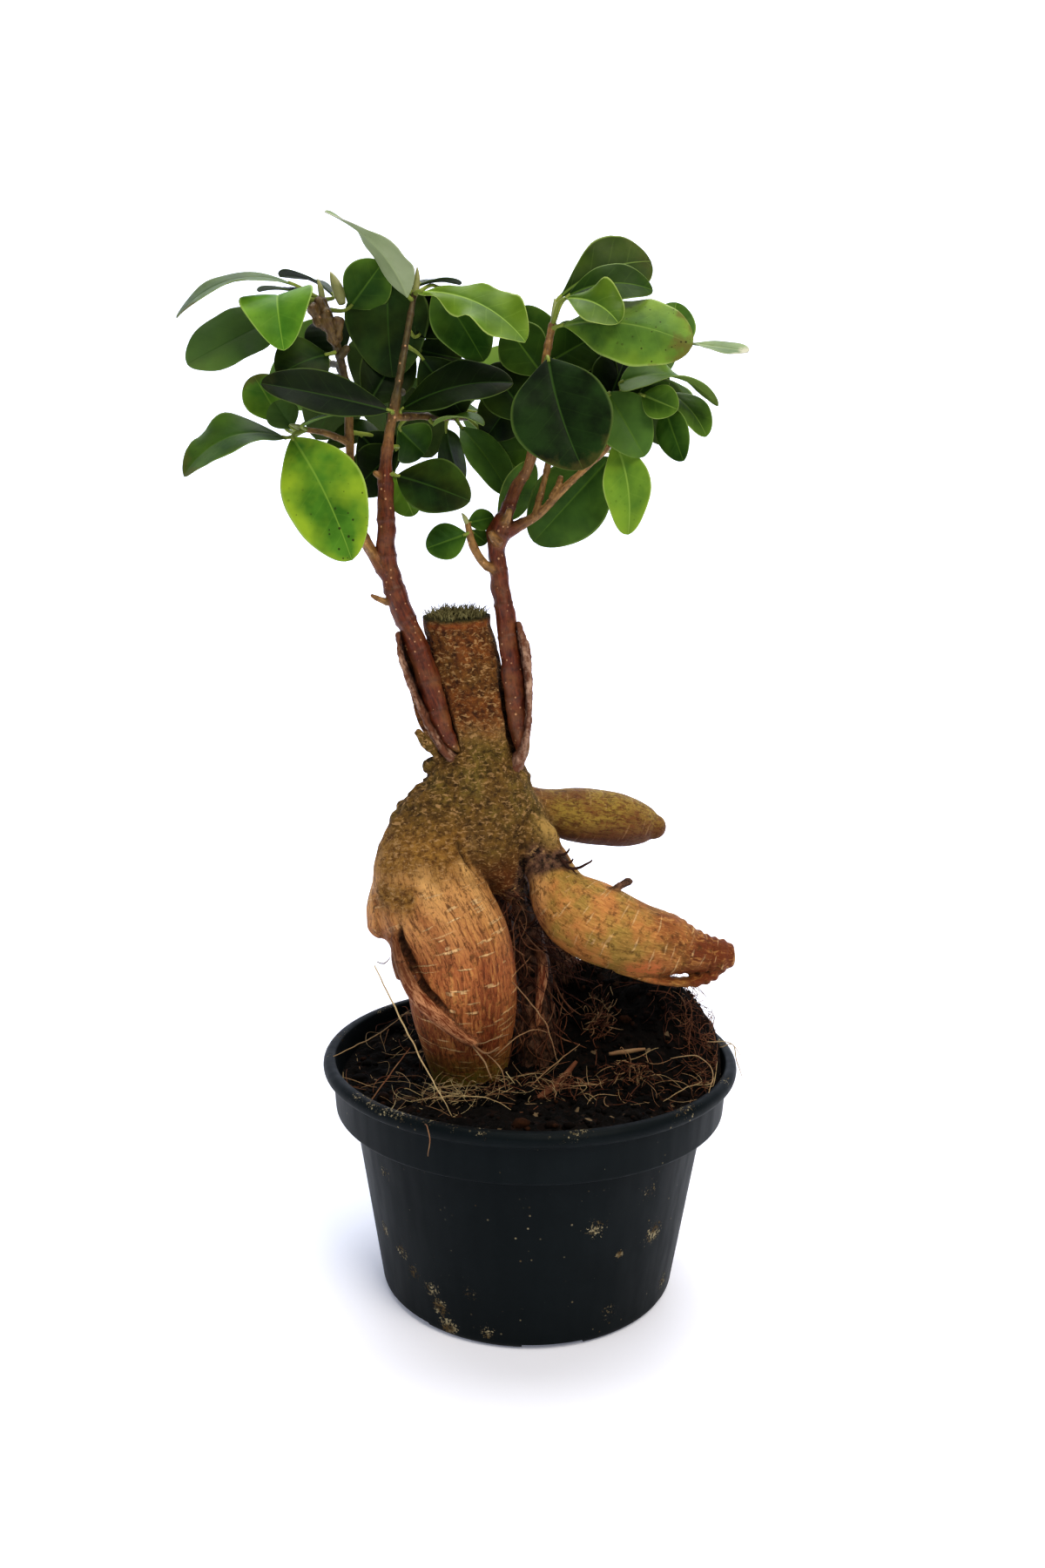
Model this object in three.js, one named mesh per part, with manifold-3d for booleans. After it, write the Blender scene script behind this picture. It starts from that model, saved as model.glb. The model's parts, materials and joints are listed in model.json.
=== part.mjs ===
// A ginseng ficus grown as a small bonsai, in a round black nursery pot. Millimetres, +Z up.
// The origin is the centre of the pot's underside, and -Y is the front.
// The tree stands on a swollen leg. Two stems are grafted beside its cut stump and carry the leaves.
import * as THREE from "three";
import Module from "manifold-3d";
import { mergeVertices } from "three/addons/utils/BufferGeometryUtils.js";

const wasm = await Module();
wasm.setup();

// Driving dimensions
const GAP = 0.3; // clearance between neighbouring pieces
const RIM_RADIUS = 60; // outside of the pot's rolled lip, a 12 cm pot
const POT_HEIGHT = 68.5;
const COLLAR_BOTTOM = 53.5; // where the wide collar steps in to the body
const COLLAR_RADIUS = 56.6;
const BODY_TOP_RADIUS = 51.4;
const BASE_RADIUS = 43;
const WALL = 1.1;
const POT_FACETS = 48;
const CHANNEL_COUNT = 6; // drainage channels under the base
const CHANNEL_WIDTH = 17;
const CHANNEL_HEIGHT = 1.8;
const CHANNEL_START = 27; // radius where a channel begins
const FIRST_CHANNEL = -80.5; // degrees, the channel that faces the front
const DRAIN_HOLE_RADIUS = 4;
const DRAIN_HOLE_AT = 35; // radius of the ring of drain holes
const SOIL_LEVEL = 62;
const SOIL_BOTTOM = 4.2;
const STALK_RADIUS = 0.45; // of a leaf's stalk
const LEAF_THICKNESS = 0.9; // over the midrib, thinning to an edge

const UP = new THREE.Vector3(0, 0, 1);
const FRONT = new THREE.Vector3(0, -1, 0);
const radians = THREE.MathUtils.degToRad;

// Solids
function toSolid(geometry) {
  const bare = geometry.clone();
  bare.deleteAttribute("normal");
  bare.deleteAttribute("uv");
  const merged = mergeVertices(bare, 1e-4);
  return new wasm.Manifold(new wasm.Mesh({
    numProp: 3,
    vertProperties: new Float32Array(merged.attributes.position.array),
    triVerts: new Uint32Array(merged.index.array),
  }));
}

function toGeometry(solid) {
  const mesh = solid.getMesh();
  const geometry = new THREE.BufferGeometry();
  geometry.setAttribute("position", new THREE.BufferAttribute(mesh.vertProperties, 3));
  geometry.setIndex(new THREE.BufferAttribute(mesh.triVerts, 1));
  geometry.computeVertexNormals();
  return geometry;
}

function join(solids) {
  return solids.reduce((whole, solid) => whole.add(solid));
}

// A closed skin over a stack of rings. Every ring has the same number of points, a ring of one
// point is a tip, and a wider ring at either end gets a flat cap. On a blade, the faces of the
// ring's second half split along the same lines as the first, so it keeps its thickness in a twist.
function skin(rings, blade = false) {
  const points = [];
  const faces = [];
  const starts = rings.map((ring) => {
    const start = points.length;
    points.push(...ring);
    return start;
  });
  for (let i = 0; i + 1 < rings.length; i += 1) {
    const low = rings[i].length;
    const high = rings[i + 1].length;
    for (let k = 0; k < Math.max(low, high); k += 1) {
      const a = starts[i] + (k % low);
      const b = starts[i] + ((k + 1) % low);
      const c = starts[i + 1] + (k % high);
      const d = starts[i + 1] + ((k + 1) % high);
      const back = blade && k >= low / 2;
      if (a !== b) faces.push([a, b, back ? c : d]);
      if (c !== d) faces.push([back ? b : a, d, c]);
    }
  }
  const cap = (ring, start, flip) => {
    for (let k = 1; k + 1 < ring.length; k += 1) {
      const face = [start, start + k + 1, start + k];
      faces.push(flip ? face.reverse() : face);
    }
  };
  cap(rings[0], starts[0], false);
  cap(rings[rings.length - 1], starts[rings.length - 1], true);
  return closedGeometry(points, faces);
}

// Faces point outwards when the volume they enclose is positive
function closedGeometry(points, faces) {
  const volume = faces.reduce((sum, [a, b, c]) =>
    sum + points[a].dot(new THREE.Vector3().crossVectors(points[b], points[c])), 0);
  const outward = volume > 0 ? faces : faces.map(([a, b, c]) => [a, c, b]);
  const geometry = new THREE.BufferGeometry();
  geometry.setAttribute("position",
    new THREE.Float32BufferAttribute(points.flatMap((p) => [p.x, p.y, p.z]), 3));
  geometry.setIndex(outward.flat());
  return geometry;
}

// Limbs: roots, trunk and stems. A row is [x, y, z, half width, half depth]. The width is seen
// from the front, and a row with no depth is round. Each end is a dome, or flat where it was cut.
function limb(rows, { sides = 12, step = 6, grow = 0, flatStart = false } = {}) {
  const path = new THREE.CatmullRomCurve3(rows.map(([x, y, z]) => new THREE.Vector3(x, y, z)));
  const girth = new THREE.CatmullRomCurve3(rows.map(([, , , wide, deep = wide]) =>
    new THREE.Vector3(wide, deep, 0)));
  const stations = [];
  for (let i = 0; i + 1 < rows.length; i += 1) {
    const length = Math.hypot(...[0, 1, 2].map((k) => rows[i + 1][k] - rows[i][k]));
    const parts = Math.max(1, Math.round(length / step));
    for (let k = 0; k < parts; k += 1) stations.push((i + k / parts) / (rows.length - 1));
  }
  stations.push(1);
  let side = null;
  const frames = stations.map((t) => {
    const along = path.getTangent(t);
    side = side || (Math.abs(along.y) > 0.9 ? UP.clone() : new THREE.Vector3().crossVectors(along, FRONT));
    side = side.clone().addScaledVector(along, -side.dot(along)).normalize();
    const deep = new THREE.Vector3().crossVectors(along, side);
    const size = girth.getPoint(t);
    return { centre: path.getPoint(t), along, side, deep, wide: size.x + grow, thick: size.y + grow };
  });
  const ring = ({ centre, along, side: across, deep, wide, thick }, shift = 0, shrink = 1) =>
    Array.from({ length: sides }, (_, k) => {
      const angle = (2 * Math.PI * k) / sides;
      return centre.clone().addScaledVector(along, shift)
        .addScaledVector(across, wide * shrink * Math.cos(angle))
        .addScaledVector(deep, thick * shrink * Math.sin(angle));
    });
  const dome = (frame, sign) => [30, 60].map((angle) => ring(frame,
    sign * Math.min(frame.wide, frame.thick) * Math.sin(radians(angle)), Math.cos(radians(angle))));
  const pole = (frame, sign) => [frame.centre.clone()
    .addScaledVector(frame.along, sign * Math.min(frame.wide, frame.thick))];
  const first = frames[0];
  const last = frames[frames.length - 1];
  const rings = frames.map((frame) => ring(frame));
  if (!flatStart) rings.unshift(pole(first, -1), ...dome(first, -1).reverse());
  rings.push(...dome(last, 1), pole(last, 1));
  return skin(rings);
}

// Pot: one closed profile turned around the axis, and the same outline with no hollow
function potBody() {
  const outer = [
    [0, 0], [BASE_RADIUS - 1.8, 0], [BASE_RADIUS - 0.2, 1.1], [BASE_RADIUS + 0.4, 4],
    [BODY_TOP_RADIUS, COLLAR_BOTTOM - 0.3], [COLLAR_RADIUS - 0.6, COLLAR_BOTTOM],
    [COLLAR_RADIUS, COLLAR_BOTTOM + 0.6], [RIM_RADIUS - 2.6, 64.3], [RIM_RADIUS - 0.7, 65.4],
    [RIM_RADIUS, 66.8], [RIM_RADIUS - 0.7, 68.1], [RIM_RADIUS - 2.2, POT_HEIGHT],
  ];
  const inner = [
    [RIM_RADIUS - 3.4, POT_HEIGHT - 0.5], [RIM_RADIUS - 3.8, 65],
    [COLLAR_RADIUS - WALL - 0.4, COLLAR_BOTTOM + WALL + 0.4],
    [COLLAR_RADIUS - WALL - 1.2, COLLAR_BOTTOM + WALL],
    [BODY_TOP_RADIUS - WALL, COLLAR_BOTTOM + WALL - 0.3],
    [BASE_RADIUS - WALL + 0.4, 4], [BASE_RADIUS - WALL - 0.8, 1.5], [0, 1.5],
  ];
  return { shell: turned([...outer, ...inner]), filled: turned([...outer, [0, POT_HEIGHT]]) };
}

function turned(outline) {
  const profile = outline.map(([r, z]) => new THREE.Vector2(r, z));
  return toSolid(new THREE.LatheGeometry(profile, POT_FACETS).rotateX(Math.PI / 2));
}

// A block that runs outwards along one drainage channel
function channelBlock(angle, width, low, high, end) {
  return new THREE.BoxGeometry(end - CHANNEL_START, width, high - low)
    .translate((end + CHANNEL_START) / 2, 0, (low + high) / 2)
    .rotateZ(radians(angle));
}

function potSolid() {
  const angles = Array.from({ length: CHANNEL_COUNT }, (_, k) => FIRST_CHANNEL + (k * 360) / CHANNEL_COUNT);
  const roofTop = CHANNEL_HEIGHT + 1.4;
  const roofEnd = BASE_RADIUS - 0.8;
  const { shell, filled } = potBody();
  let pot = shell;
  for (const angle of angles) {
    const roof = channelBlock(angle, CHANNEL_WIDTH + 2 * WALL, 0.5, roofTop, roofEnd);
    const channel = channelBlock(angle, CHANNEL_WIDTH, -1, CHANNEL_HEIGHT, BASE_RADIUS + 5);
    const hole = new THREE.CylinderGeometry(DRAIN_HOLE_RADIUS, DRAIN_HOLE_RADIUS, 8, 20)
      .rotateX(Math.PI / 2)
      .translate(DRAIN_HOLE_AT, 0, 2)
      .rotateZ(radians(angle));
    pot = pot.add(toSolid(roof).intersect(filled)).subtract(toSolid(channel)).subtract(toSolid(hole));
  }
  return pot;
}

// Soil: level at the front, with a mound of fibrous mix at the right and behind the leg
const SOIL_MOUNDS = [
  // x, y, height, spread
  [20, 22, 25, 17],
  [44, 8, 15, 11],
  [-24, 42, 8, 14],
  [6, -50, 3, 22],
  [-44, -6, -4, 14],
];

function soilHeight(x, y) {
  return SOIL_MOUNDS.reduce((z, [cx, cy, height, spread]) =>
    z + height * Math.exp(-((x - cx) ** 2 + (y - cy) ** 2) / (2 * spread * spread)), SOIL_LEVEL);
}

function soilSolid() {
  const sectors = 32;
  const top = 55.2;
  const circle = (radius, height) => Array.from({ length: sectors }, (_, k) => {
    const angle = (2 * Math.PI * k) / sectors;
    const x = radius * Math.cos(angle);
    const y = radius * Math.sin(angle);
    return new THREE.Vector3(x, y, height === undefined ? soilHeight(x, y) : height);
  });
  const clear = WALL + GAP + 0.15;
  const side = [
    [BASE_RADIUS - clear + 0.3, SOIL_BOTTOM],
    [BODY_TOP_RADIUS - clear, COLLAR_BOTTOM],
    [BODY_TOP_RADIUS - clear, COLLAR_BOTTOM + WALL + GAP],
    [COLLAR_RADIUS - clear - 1.2, COLLAR_BOTTOM + WALL + GAP + 0.3],
    [COLLAR_RADIUS - clear - 0.1, 57],
  ];
  const rings = side.map(([radius, height]) => circle(radius, height));
  for (const radius of [top, 50, 43, 36, 29, 22, 15, 8]) rings.push(circle(radius));
  rings.push([new THREE.Vector3(0, 0, soilHeight(0, 0))]);
  return toSolid(skin(rings));
}

// Rootstock: the stump, the neck and the swollen roots, grown as one
const TRUNK = [
  [-21.8, 0, 194.5, 9.6, 9], [-20.6, 0, 188.5, 9, 8.6], [-19.1, 0, 182.4, 8.6, 8.4],
  [-17.6, 0, 175.4, 8.2, 8.2], [-15, 0, 163, 7.8, 8], [-14, 0, 156, 8.6, 8.6],
];
const NECK = [
  [-14, 0, 160, 7.4, 8], [-15.2, 0, 151.5, 13.8, 12], [-15.6, -1, 145.5, 15.4, 13.5],
  [-15, -1, 138, 16.4, 14], [-12.5, -1, 130.5, 13, 12.5], [-9, 0, 122, 7.5, 9], [-6, 0, 115, 3.2, 6],
];
const LEG = [
  [-19.5, -1, 143, 11, 11], [-24, -4, 137.5, 12.6, 12], [-29.5, -7, 131, 12.4, 12.5],
  [-30.2, -10, 123, 14.6, 14], [-28.3, -12, 114, 17.8, 15.5], [-26.5, -13, 108, 18.6, 16],
  [-22.8, -13, 101.5, 17.2, 16], [-20.8, -13, 93, 16.5, 15.5], [-18.6, -11, 83, 14.8, 14],
  [-18.1, -8, 72, 12.8, 12], [-16.8, -5, 60, 10.2, 10], [-14, -3, 46, 6.5, 6.5],
  [-11, 0, 30, 4, 4], [-8, 2, 14, 2, 2],
];
const LEG_BULGE = [
  [-41.5, -8, 122, 3.5, 4.5], [-41.4, -9, 116, 4.4, 5], [-40.6, -10, 110, 4.4, 5],
  [-38.6, -11, 105.5, 2.8, 3.5],
];
const RIGHT_TUBER = [
  [-4, 0, 139, 7, 8], [0, -2, 132, 6.6, 7], [3.5, -3, 126, 6.2, 6.5], [5.6, -5, 121.4, 7, 7],
  [8.5, -8, 116, 9.2, 9], [14, -11, 111.6, 11, 10.5], [21.6, -14, 108.5, 11, 10.5],
  [30, -15, 106, 9.8, 9.5], [37.3, -15, 104.5, 7.9, 8], [43.4, -15, 102.6, 5.8, 6],
  [49.7, -14, 101.2, 4.6, 4.6], [54, -14, 100.8, 3.6, 3.8],
];
const FINGER_TUBER = [
  [-4.5, 4, 142.4, 4, 4], [2, 7, 139.4, 5.2, 5.2], [8.4, 9, 137.4, 7.2, 7], [15, 11, 136, 8.2, 8],
  [23, 13, 134.8, 8, 7.8], [29.6, 15, 133, 6.4, 6.4], [35, 16, 131.5, 4.2, 4.2], [37.6, 16, 131, 2.4, 2.4],
];
const REAR_ROOT = [
  [-12, 6, 131, 9, 8], [-9, 13, 119, 8.5, 8.5], [-6, 18, 104, 8.6, 8.6], [-4, 20, 89, 7.5, 7.5],
  [-2, 20, 70, 5.5, 5.5], [0, 18, 45, 3.2, 3.2], [2, 14, 22, 1.8, 1.8],
];
const ROOT_FIBRES = [
  [-5.3, 0, 118, 3.6], [-2, 2, 105.5, 4.2], [0.6, 1, 90, 5.2], [1.8, -2, 75.5, 6.2],
  [3, -3, 60, 6.2], [5, -2, 40, 4], [8, 0, 20, 2],
];
const RED_ROOT = [[2.4, -3, 101, 1.3], [3.4, -7, 93, 1.5], [2.2, -8.5, 84, 1.3], [2.2, -7, 76, 1.2]];
const SIDE_ROOT = [
  [-38.6, -13.5, 105, 1.2], [-35, -21.5, 98.5, 1.3], [-29.3, -26.2, 92, 1.4], [-22.5, -26, 85, 1.4],
  [-16, -22.3, 78, 1.2],
];
const NECK_KNOB = [[-25, -3, 150, 3], [-29, -4, 152.4, 2.6]];
const RIGHT_KNOB = [[0, -4, 136, 3.4], [4.8, -7.5, 134.8, 2.9]];
const CUT_TWIG = [[-25.5, -6, 154, 1.3], [-29, -9, 158, 1.2], [-32.5, -11, 162.2, 1.1]];
const TUBER_TWIG = [[22.5, -14, 117, 1], [25.6, -14.5, 121.5, 0.7]];

// Tongues of bark, torn open to take the two grafts
const LEFT_TONGUE = [
  [-37.2, -7, 189, 0.6, 1.8], [-36.7, -6.5, 182, 0.8, 3.5], [-33.4, -6.5, 175.4, 0.9, 4.5],
  [-30, -6, 166.5, 1, 5], [-25.9, -5, 159, 1.3, 5], [-21.6, -4, 153.5, 2, 5],
];
const RIGHT_TONGUE = [
  [-5.6, -6, 192.6, 0.6, 1.8], [-2.5, -6, 185.3, 0.8, 4], [-1.3, -6, 178.7, 0.8, 4.5],
  [-1.1, -5.5, 171, 0.9, 5], [-1.3, -5, 164.7, 1.1, 5], [-3.2, -4, 157, 1.8, 5], [-6, -2, 150, 3.5, 5],
];

// Grafted stems and their twigs
const LEFT_STEM = [
  [-22.5, -5.5, 156.8, 1.6], [-25, -6, 161, 2.7, 2.4], [-27.4, -6, 168, 3.5, 2.6],
  [-30.8, -6, 177.7, 3.8, 2.8], [-34.2, -6, 187, 3.3, 2.8], [-37.8, -6, 194, 3, 2.8],
  [-40.4, -6, 202, 2.7], [-42, -6, 209.6, 2.5], [-41.7, -7, 219, 2.3], [-41.5, -8, 228, 2],
  [-40.9, -9, 234.6, 1.7], [-39.4, -10, 244, 1.4],
  [-38.4, -10, 248.7, 1.6], [-37.3, -10, 254.7, 1.2], [-36, -9, 262.7, 1], [-34.7, -8, 270.6, 0.9],
  [-33.4, -7, 278, 0.8],
];
const LEFT_TWIGS = [
  [[-40.4, -6, 203.7, 1.8], [-43.8, -7, 208.8, 1.5], [-47.2, -6, 214.6, 1.4], [-50.3, -4, 223.6, 1.2],
    [-51.2, -4, 237.4, 1.1], [-51.4, -5, 248.7, 1.1], [-52.6, -6, 258.6, 1], [-54.2, -7, 265, 1.2],
    [-56.3, -8, 271.4, 1.6], [-57.6, -8, 275.8, 1.1]],
  [[-51.1, -4, 240, 1], [-57, -7, 242, 0.8], [-62, -10, 242.5, 0.7]],
  [[-38.2, -10, 246, 1], [-33, -3, 247.5, 0.9], [-27, 7, 249, 0.9], [-21, 14, 250, 0.8], [-17, 20, 252, 0.7]],
  [[-37.4, -10, 253, 0.9], [-37, -4, 253.5, 0.8], [-39, 5, 256, 0.7], [-41, 12, 260, 0.7]],
  [[-52.4, -6, 257, 0.9], [-55, 0, 261, 0.8], [-58, 8, 263, 0.7]],
];
const RIGHT_STEM = [
  [-3.8, -5, 158, 1.5], [-4.4, -5.5, 161.5, 2.2], [-5.5, -5.5, 172, 2.9, 2.6], [-7, -5.5, 183, 2.7],
  [-8.9, -5.5, 196, 2.5], [-10.4, -5, 205, 2.3], [-11.2, -5, 212, 2.3], [-10.3, -5, 217, 3.2, 2.8],
  [-9.4, -5, 220, 2.5],
];
const RIGHT_TWIGS = [
  [[-9.8, -5, 218.5, 2.1], [-7.5, -5, 225, 1.9], [-5.7, -4.5, 229.5, 1.7], [-2.9, -5, 234, 1.5],
    [-0.6, -7, 243, 1.3], [0.6, -10, 253, 1.1], [1.6, -11, 262, 1], [3, -9, 270, 0.9]],
  [[-8.9, -5, 216.6, 2], [-4.1, -5, 219.2, 1.8], [1, -5, 222.5, 1.5], [7.1, -6, 228.7, 1.4],
    [13.5, -7, 234.7, 1.3], [18, -8, 239.6, 1.3], [20, -8, 247, 1], [22.5, -7, 254.7, 0.9],
    [27, -6, 261.6, 0.8], [31, -5, 265, 0.7]],
  [[-10.6, -5.5, 206, 1.3], [-13.5, -7, 207.5, 1.1], [-16.3, -8, 210.7, 1.1], [-18, -8, 214.4, 1],
    [-18.9, -8, 218.5, 0.8]],
  [[-0.8, -5.5, 221.2, 1], [1.4, -2, 230, 0.8], [3, 2, 237, 0.8], [5, 6, 246, 0.7], [7, 10, 256, 0.7],
    [9, 14, 262, 0.6]],
  [[21.5, -7.5, 251.5, 0.8], [27, -7, 252.5, 0.7], [31, -8, 252.5, 0.6]],
  [[4.2, 4.5, 242.5, 0.7], [1, 8, 249, 0.6], [-0.5, 10, 256, 0.6]],
];

// Leaves. The upper face of a leaf looks to the front at turn 0, and turns about the line from
// the blade's base to its tip. Arch, twist and sweep bend the midrib: arch and sweep are parts of
// the length, and widest says how far along the blade its widest place is.
const LEAVES = [
  // name, base, tip, width, turn, arch, fold, twist, sweep, widest, tone
  ["crown_tip", [-35, -9, 277], [-53, -30, 291], 13, 125, 0.06, 8, -45, -0.06, 0.52, "pale"],
  ["crown_left", [-51, -4, 275], [-42, -6, 286], 14, 30, 0, 8, 0, 0, 0.52, "mid"],
  ["crown_large", [-41, -2, 284], [-40, 0, 258], 23, 0, 0.02, 6, 0, 0.02, 0.4, "dark"],
  ["crown_wavy", [-32, -10, 278], [-4, -22, 263], 15.5, -34, 0.06, 6, 0, -0.09, 0.62, "lime"],
  ["crown_thin", [-33, -4, 281], [-22, 2, 283], 14, -74, 0.08, 6, 0, 0, 0.52, "dark"],
  ["crown_right", [-28, -4, 281], [-15, -8, 261], 16, -15, 0.05, 6, 0, 0, 0.52, "mid"],
  ["far_left_arch", [-65, -10, 278], [-93, -20, 268], 15, 80, 0.16, 3, 0, 0, 0.52, "olive"],
  ["left_bright", [-67, -14, 276], [-64, -28, 259], 20, 5, 0.25, 4, 0, 0, 0.38, "bright"],
  ["left_glossy", [-65, -8, 272], [-92, -14, 256], 20, 32, 0.04, 8, 0, -0.02, 0.58, "dark"],
  ["left_inner", [-56, -9, 262], [-68, -16, 255], 16, 20, 0.08, 6, 0, 0, 0.52, "dark"],
  ["left_dark", [-39, -14, 247], [-70, -27, 251], 15.5, 38, -0.03, 8, 0, 0.05, 0.52, "dark"],
  ["left_back_lime", [-71, 3, 246], [-79, 5, 259], 14, 20, 0.05, 8, 0, 0, 0.52, "bright"],
  ["left_ragged", [-67, -12, 240], [-92, -20, 229], 21, 58, 0.2, 8, 0, 0, 0.52, "mid"],
  ["left_hanging", [-65, -14, 240], [-48, -24, 208], 22.5, 0, 0.05, 6, 0, -0.04, 0.52, "bright"],
  ["left_sliver", [-62, -15, 243], [-47, -13, 246], 12, -78, 0.08, 6, 0, 0, 0.52, "mid"],
  ["left_small", [-66, -8, 243], [-71, -7, 250], 9, 30, 0, 6, 0, 0, 0.52, "dark"],
  ["left_droop", [-43, 3, 243], [-60, 9, 241], 14, 50, 0.1, 8, 0, 0, 0.52, "dark"],
  ["left_top_edge", [-55, -4, 278], [-71, 4, 285], 12, 80, 0.1, 6, 0, 0, 0.52, "dark"],
  ["left_top_small", [-62, -4, 278], [-76, 0, 280], 13, 75, 0.08, 6, 0, 0, 0.52, "dark"],
  ["middle_dark", [-37, -9, 248], [-7, -16, 254], 16.5, -38, 0.06, 8, 0, -0.05, 0.52, "dark"],
  ["middle_low", [-38, -10, 231], [-18, -16, 224], 16, -20, 0.04, 6, 0, 0, 0.52, "dark"],
  ["middle_lime", [-39, -5, 232], [-34, -3, 221], 10, 0, 0, 6, 0, 0, 0.52, "lime"],
  ["middle_inner", [-38, -4, 244], [-32, 8, 239], 13, 0, 0, 6, 0, 0, 0.52, "mid"],
  ["middle_hanging", [-26, 9, 246], [-21, 7, 231], 15, 55, 0.05, 6, 0, 0, 0.52, "dark"],
  ["middle_arch", [-29, 1, 246], [-15, -5, 245], 12, -78, 0.15, 6, 0, 0, 0.52, "olive"],
  ["middle_droop", [-22, 10, 247], [-10, 7, 230], 13, -40, 0.05, 6, 0, 0, 0.52, "mid"],
  ["middle_dull", [-17, 13, 247], [-4, 16, 234], 15, 0, 0.05, 6, 0, 0, 0.52, "olive"],
  ["middle_back", [-34, 8, 267], [-22, 14, 266], 13, 0, 0, 6, 0, 0, 0.52, "dark"],
  ["middle_fill", [-4, 10, 259], [-15, 12, 244], 15, 0, 0, 6, 0, 0, 0.52, "dark"],
  ["right_large", [2, -18, 260], [11, -28, 231], 26, 0, 0.05, 4, 0, 0.04, 0.52, "dark"],
  ["right_top", [4, -7, 276], [29, -2, 289], 19, -15, 0.05, 6, 0, -0.05, 0.6, "olive"],
  ["right_top_inner", [7, -10, 276], [29, -12, 277], 17, -48, 0.14, 6, 0, 0, 0.52, "mid"],
  ["right_lime", [4, -14, 275], [19, -29, 267], 14, -52, 0.1, 6, 0, 0, 0.52, "lime"],
  ["right_spotted", [5, -12, 269], [37, -26, 257], 20, -35, 0.06, 6, 0, -0.11, 0.6, "olive"],
  ["right_behind", [31, -2, 268], [39, 2, 279], 13, 0, 0, 6, 0, 0, 0.52, "bright"],
  ["far_right", [39, -6, 267], [54, -14, 263], 11, -58, 0.02, 6, 0, 0.08, 0.66, "pale"],
  ["right_twisted", [21, -10, 256], [47, -11, 250], 20, -30, 0.12, 6, -105, 0, 0.42, "olive"],
  ["right_young", [29, -15, 249], [36, -21, 246], 8.5, 0, 0, 6, 0, 0, 0.52, "olive"],
  ["right_olive", [35, -4, 254], [44, -8, 242], 11, -40, 0.1, 6, 0, 0, 0.52, "olive"],
  ["right_tip", [33, -12, 249], [39, -16, 235], 12, 42, 0, 6, 0, 0, 0.52, "mid"],
  ["right_dull", [18, -10, 253], [27, -14, 235], 15, 0, 0.03, 6, 0, 0, 0.52, "mid"],
  ["right_yellow", [20, -9, 241], [24, -14, 216], 13, 22, 0.02, 6, 0, -0.08, 0.52, "lime"],
  ["right_back", [3, 8, 261], [-5, 12, 280], 14, 0, 0, 6, 0, 0, 0.52, "mid"],
  ["right_edge", [0, 2, 260], [-11, 6, 261], 11, 84, 0.12, 6, 0, 0, 0.52, "pale"],
  ["low_right", [20, 2, 238], [-1, 6, 215], 21.5, 0, 0.04, 6, 0, 0, 0.52, "mid"],
  ["low_round", [-19, -9, 216], [-30, -9, 212], 10, 0, 0, 6, 0, 0, 0.52, "mid"],
  ["low_small", [-19, -7, 219], [-12, -3, 221], 6, 0, 0, 6, 0, 0, 0.52, "mid"],
  ["low_tiny", [-18, -6, 217], [-14, -2, 214], 5, 0, 0, 6, 0, 0, 0.52, "mid"],
  ["fork", [-11, 3, 220], [-1, 8, 237], 13, 45, 0, 6, 0, 0, 0.52, "olive"],
  ["rear_far_left", [-61, 12, 262], [-80, 32, 257], 18, 150, 0.08, 6, 0, 0, 0.52, "mid"],
  ["rear_left", [-43, 16, 262], [-48, 42, 250], 20, 170, 0.08, 6, 0, 0, 0.52, "dark"],
  ["rear_middle", [-22, 24, 254], [-30, 42, 268], 19, 190, 0.05, 6, 0, 0, 0.52, "mid"],
  ["rear_low", [-12, 24, 250], [-6, 42, 234], 19, 190, 0.08, 6, 0, 0, 0.52, "dark"],
  ["rear_right", [13, 18, 263], [26, 38, 256], 19, 190, 0.08, 6, 0, 0, 0.52, "mid"],
  ["rear_far_right", [30, 2, 262], [50, 22, 254], 18, 205, 0.08, 6, 0, 0, 0.52, "bright"],
];
const BLADE_STATIONS = [0.1, 0.25, 0.42, 0.58, 0.74, 0.88];

// The middle line of every stem and twig, which the leaf stalks grow from
function centreLine(rows) {
  const path = new THREE.CatmullRomCurve3(rows.map(([x, y, z]) => new THREE.Vector3(x, y, z)));
  const radius = new THREE.CatmullRomCurve3(rows.map((row) => new THREE.Vector3(row[3], 0, 0)));
  const steps = 4 * (rows.length - 1);
  return Array.from({ length: steps + 1 }, (_, i) =>
    ({ point: path.getPoint(i / steps), radius: radius.getPoint(i / steps).x }));
}

const stemPoints = [LEFT_STEM, ...LEFT_TWIGS, RIGHT_STEM, ...RIGHT_TWIGS].flatMap(centreLine);

// Where a leaf's stalk meets its twig, a little clear of the bark
function stalkFoot(base) {
  const nearest = stemPoints.reduce((best, place) =>
    (place.point.distanceTo(base) < best.point.distanceTo(base) ? place : best));
  const outward = base.clone().sub(nearest.point).normalize();
  return nearest.point.clone().addScaledVector(outward, nearest.radius + GAP + 0.3);
}

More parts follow.
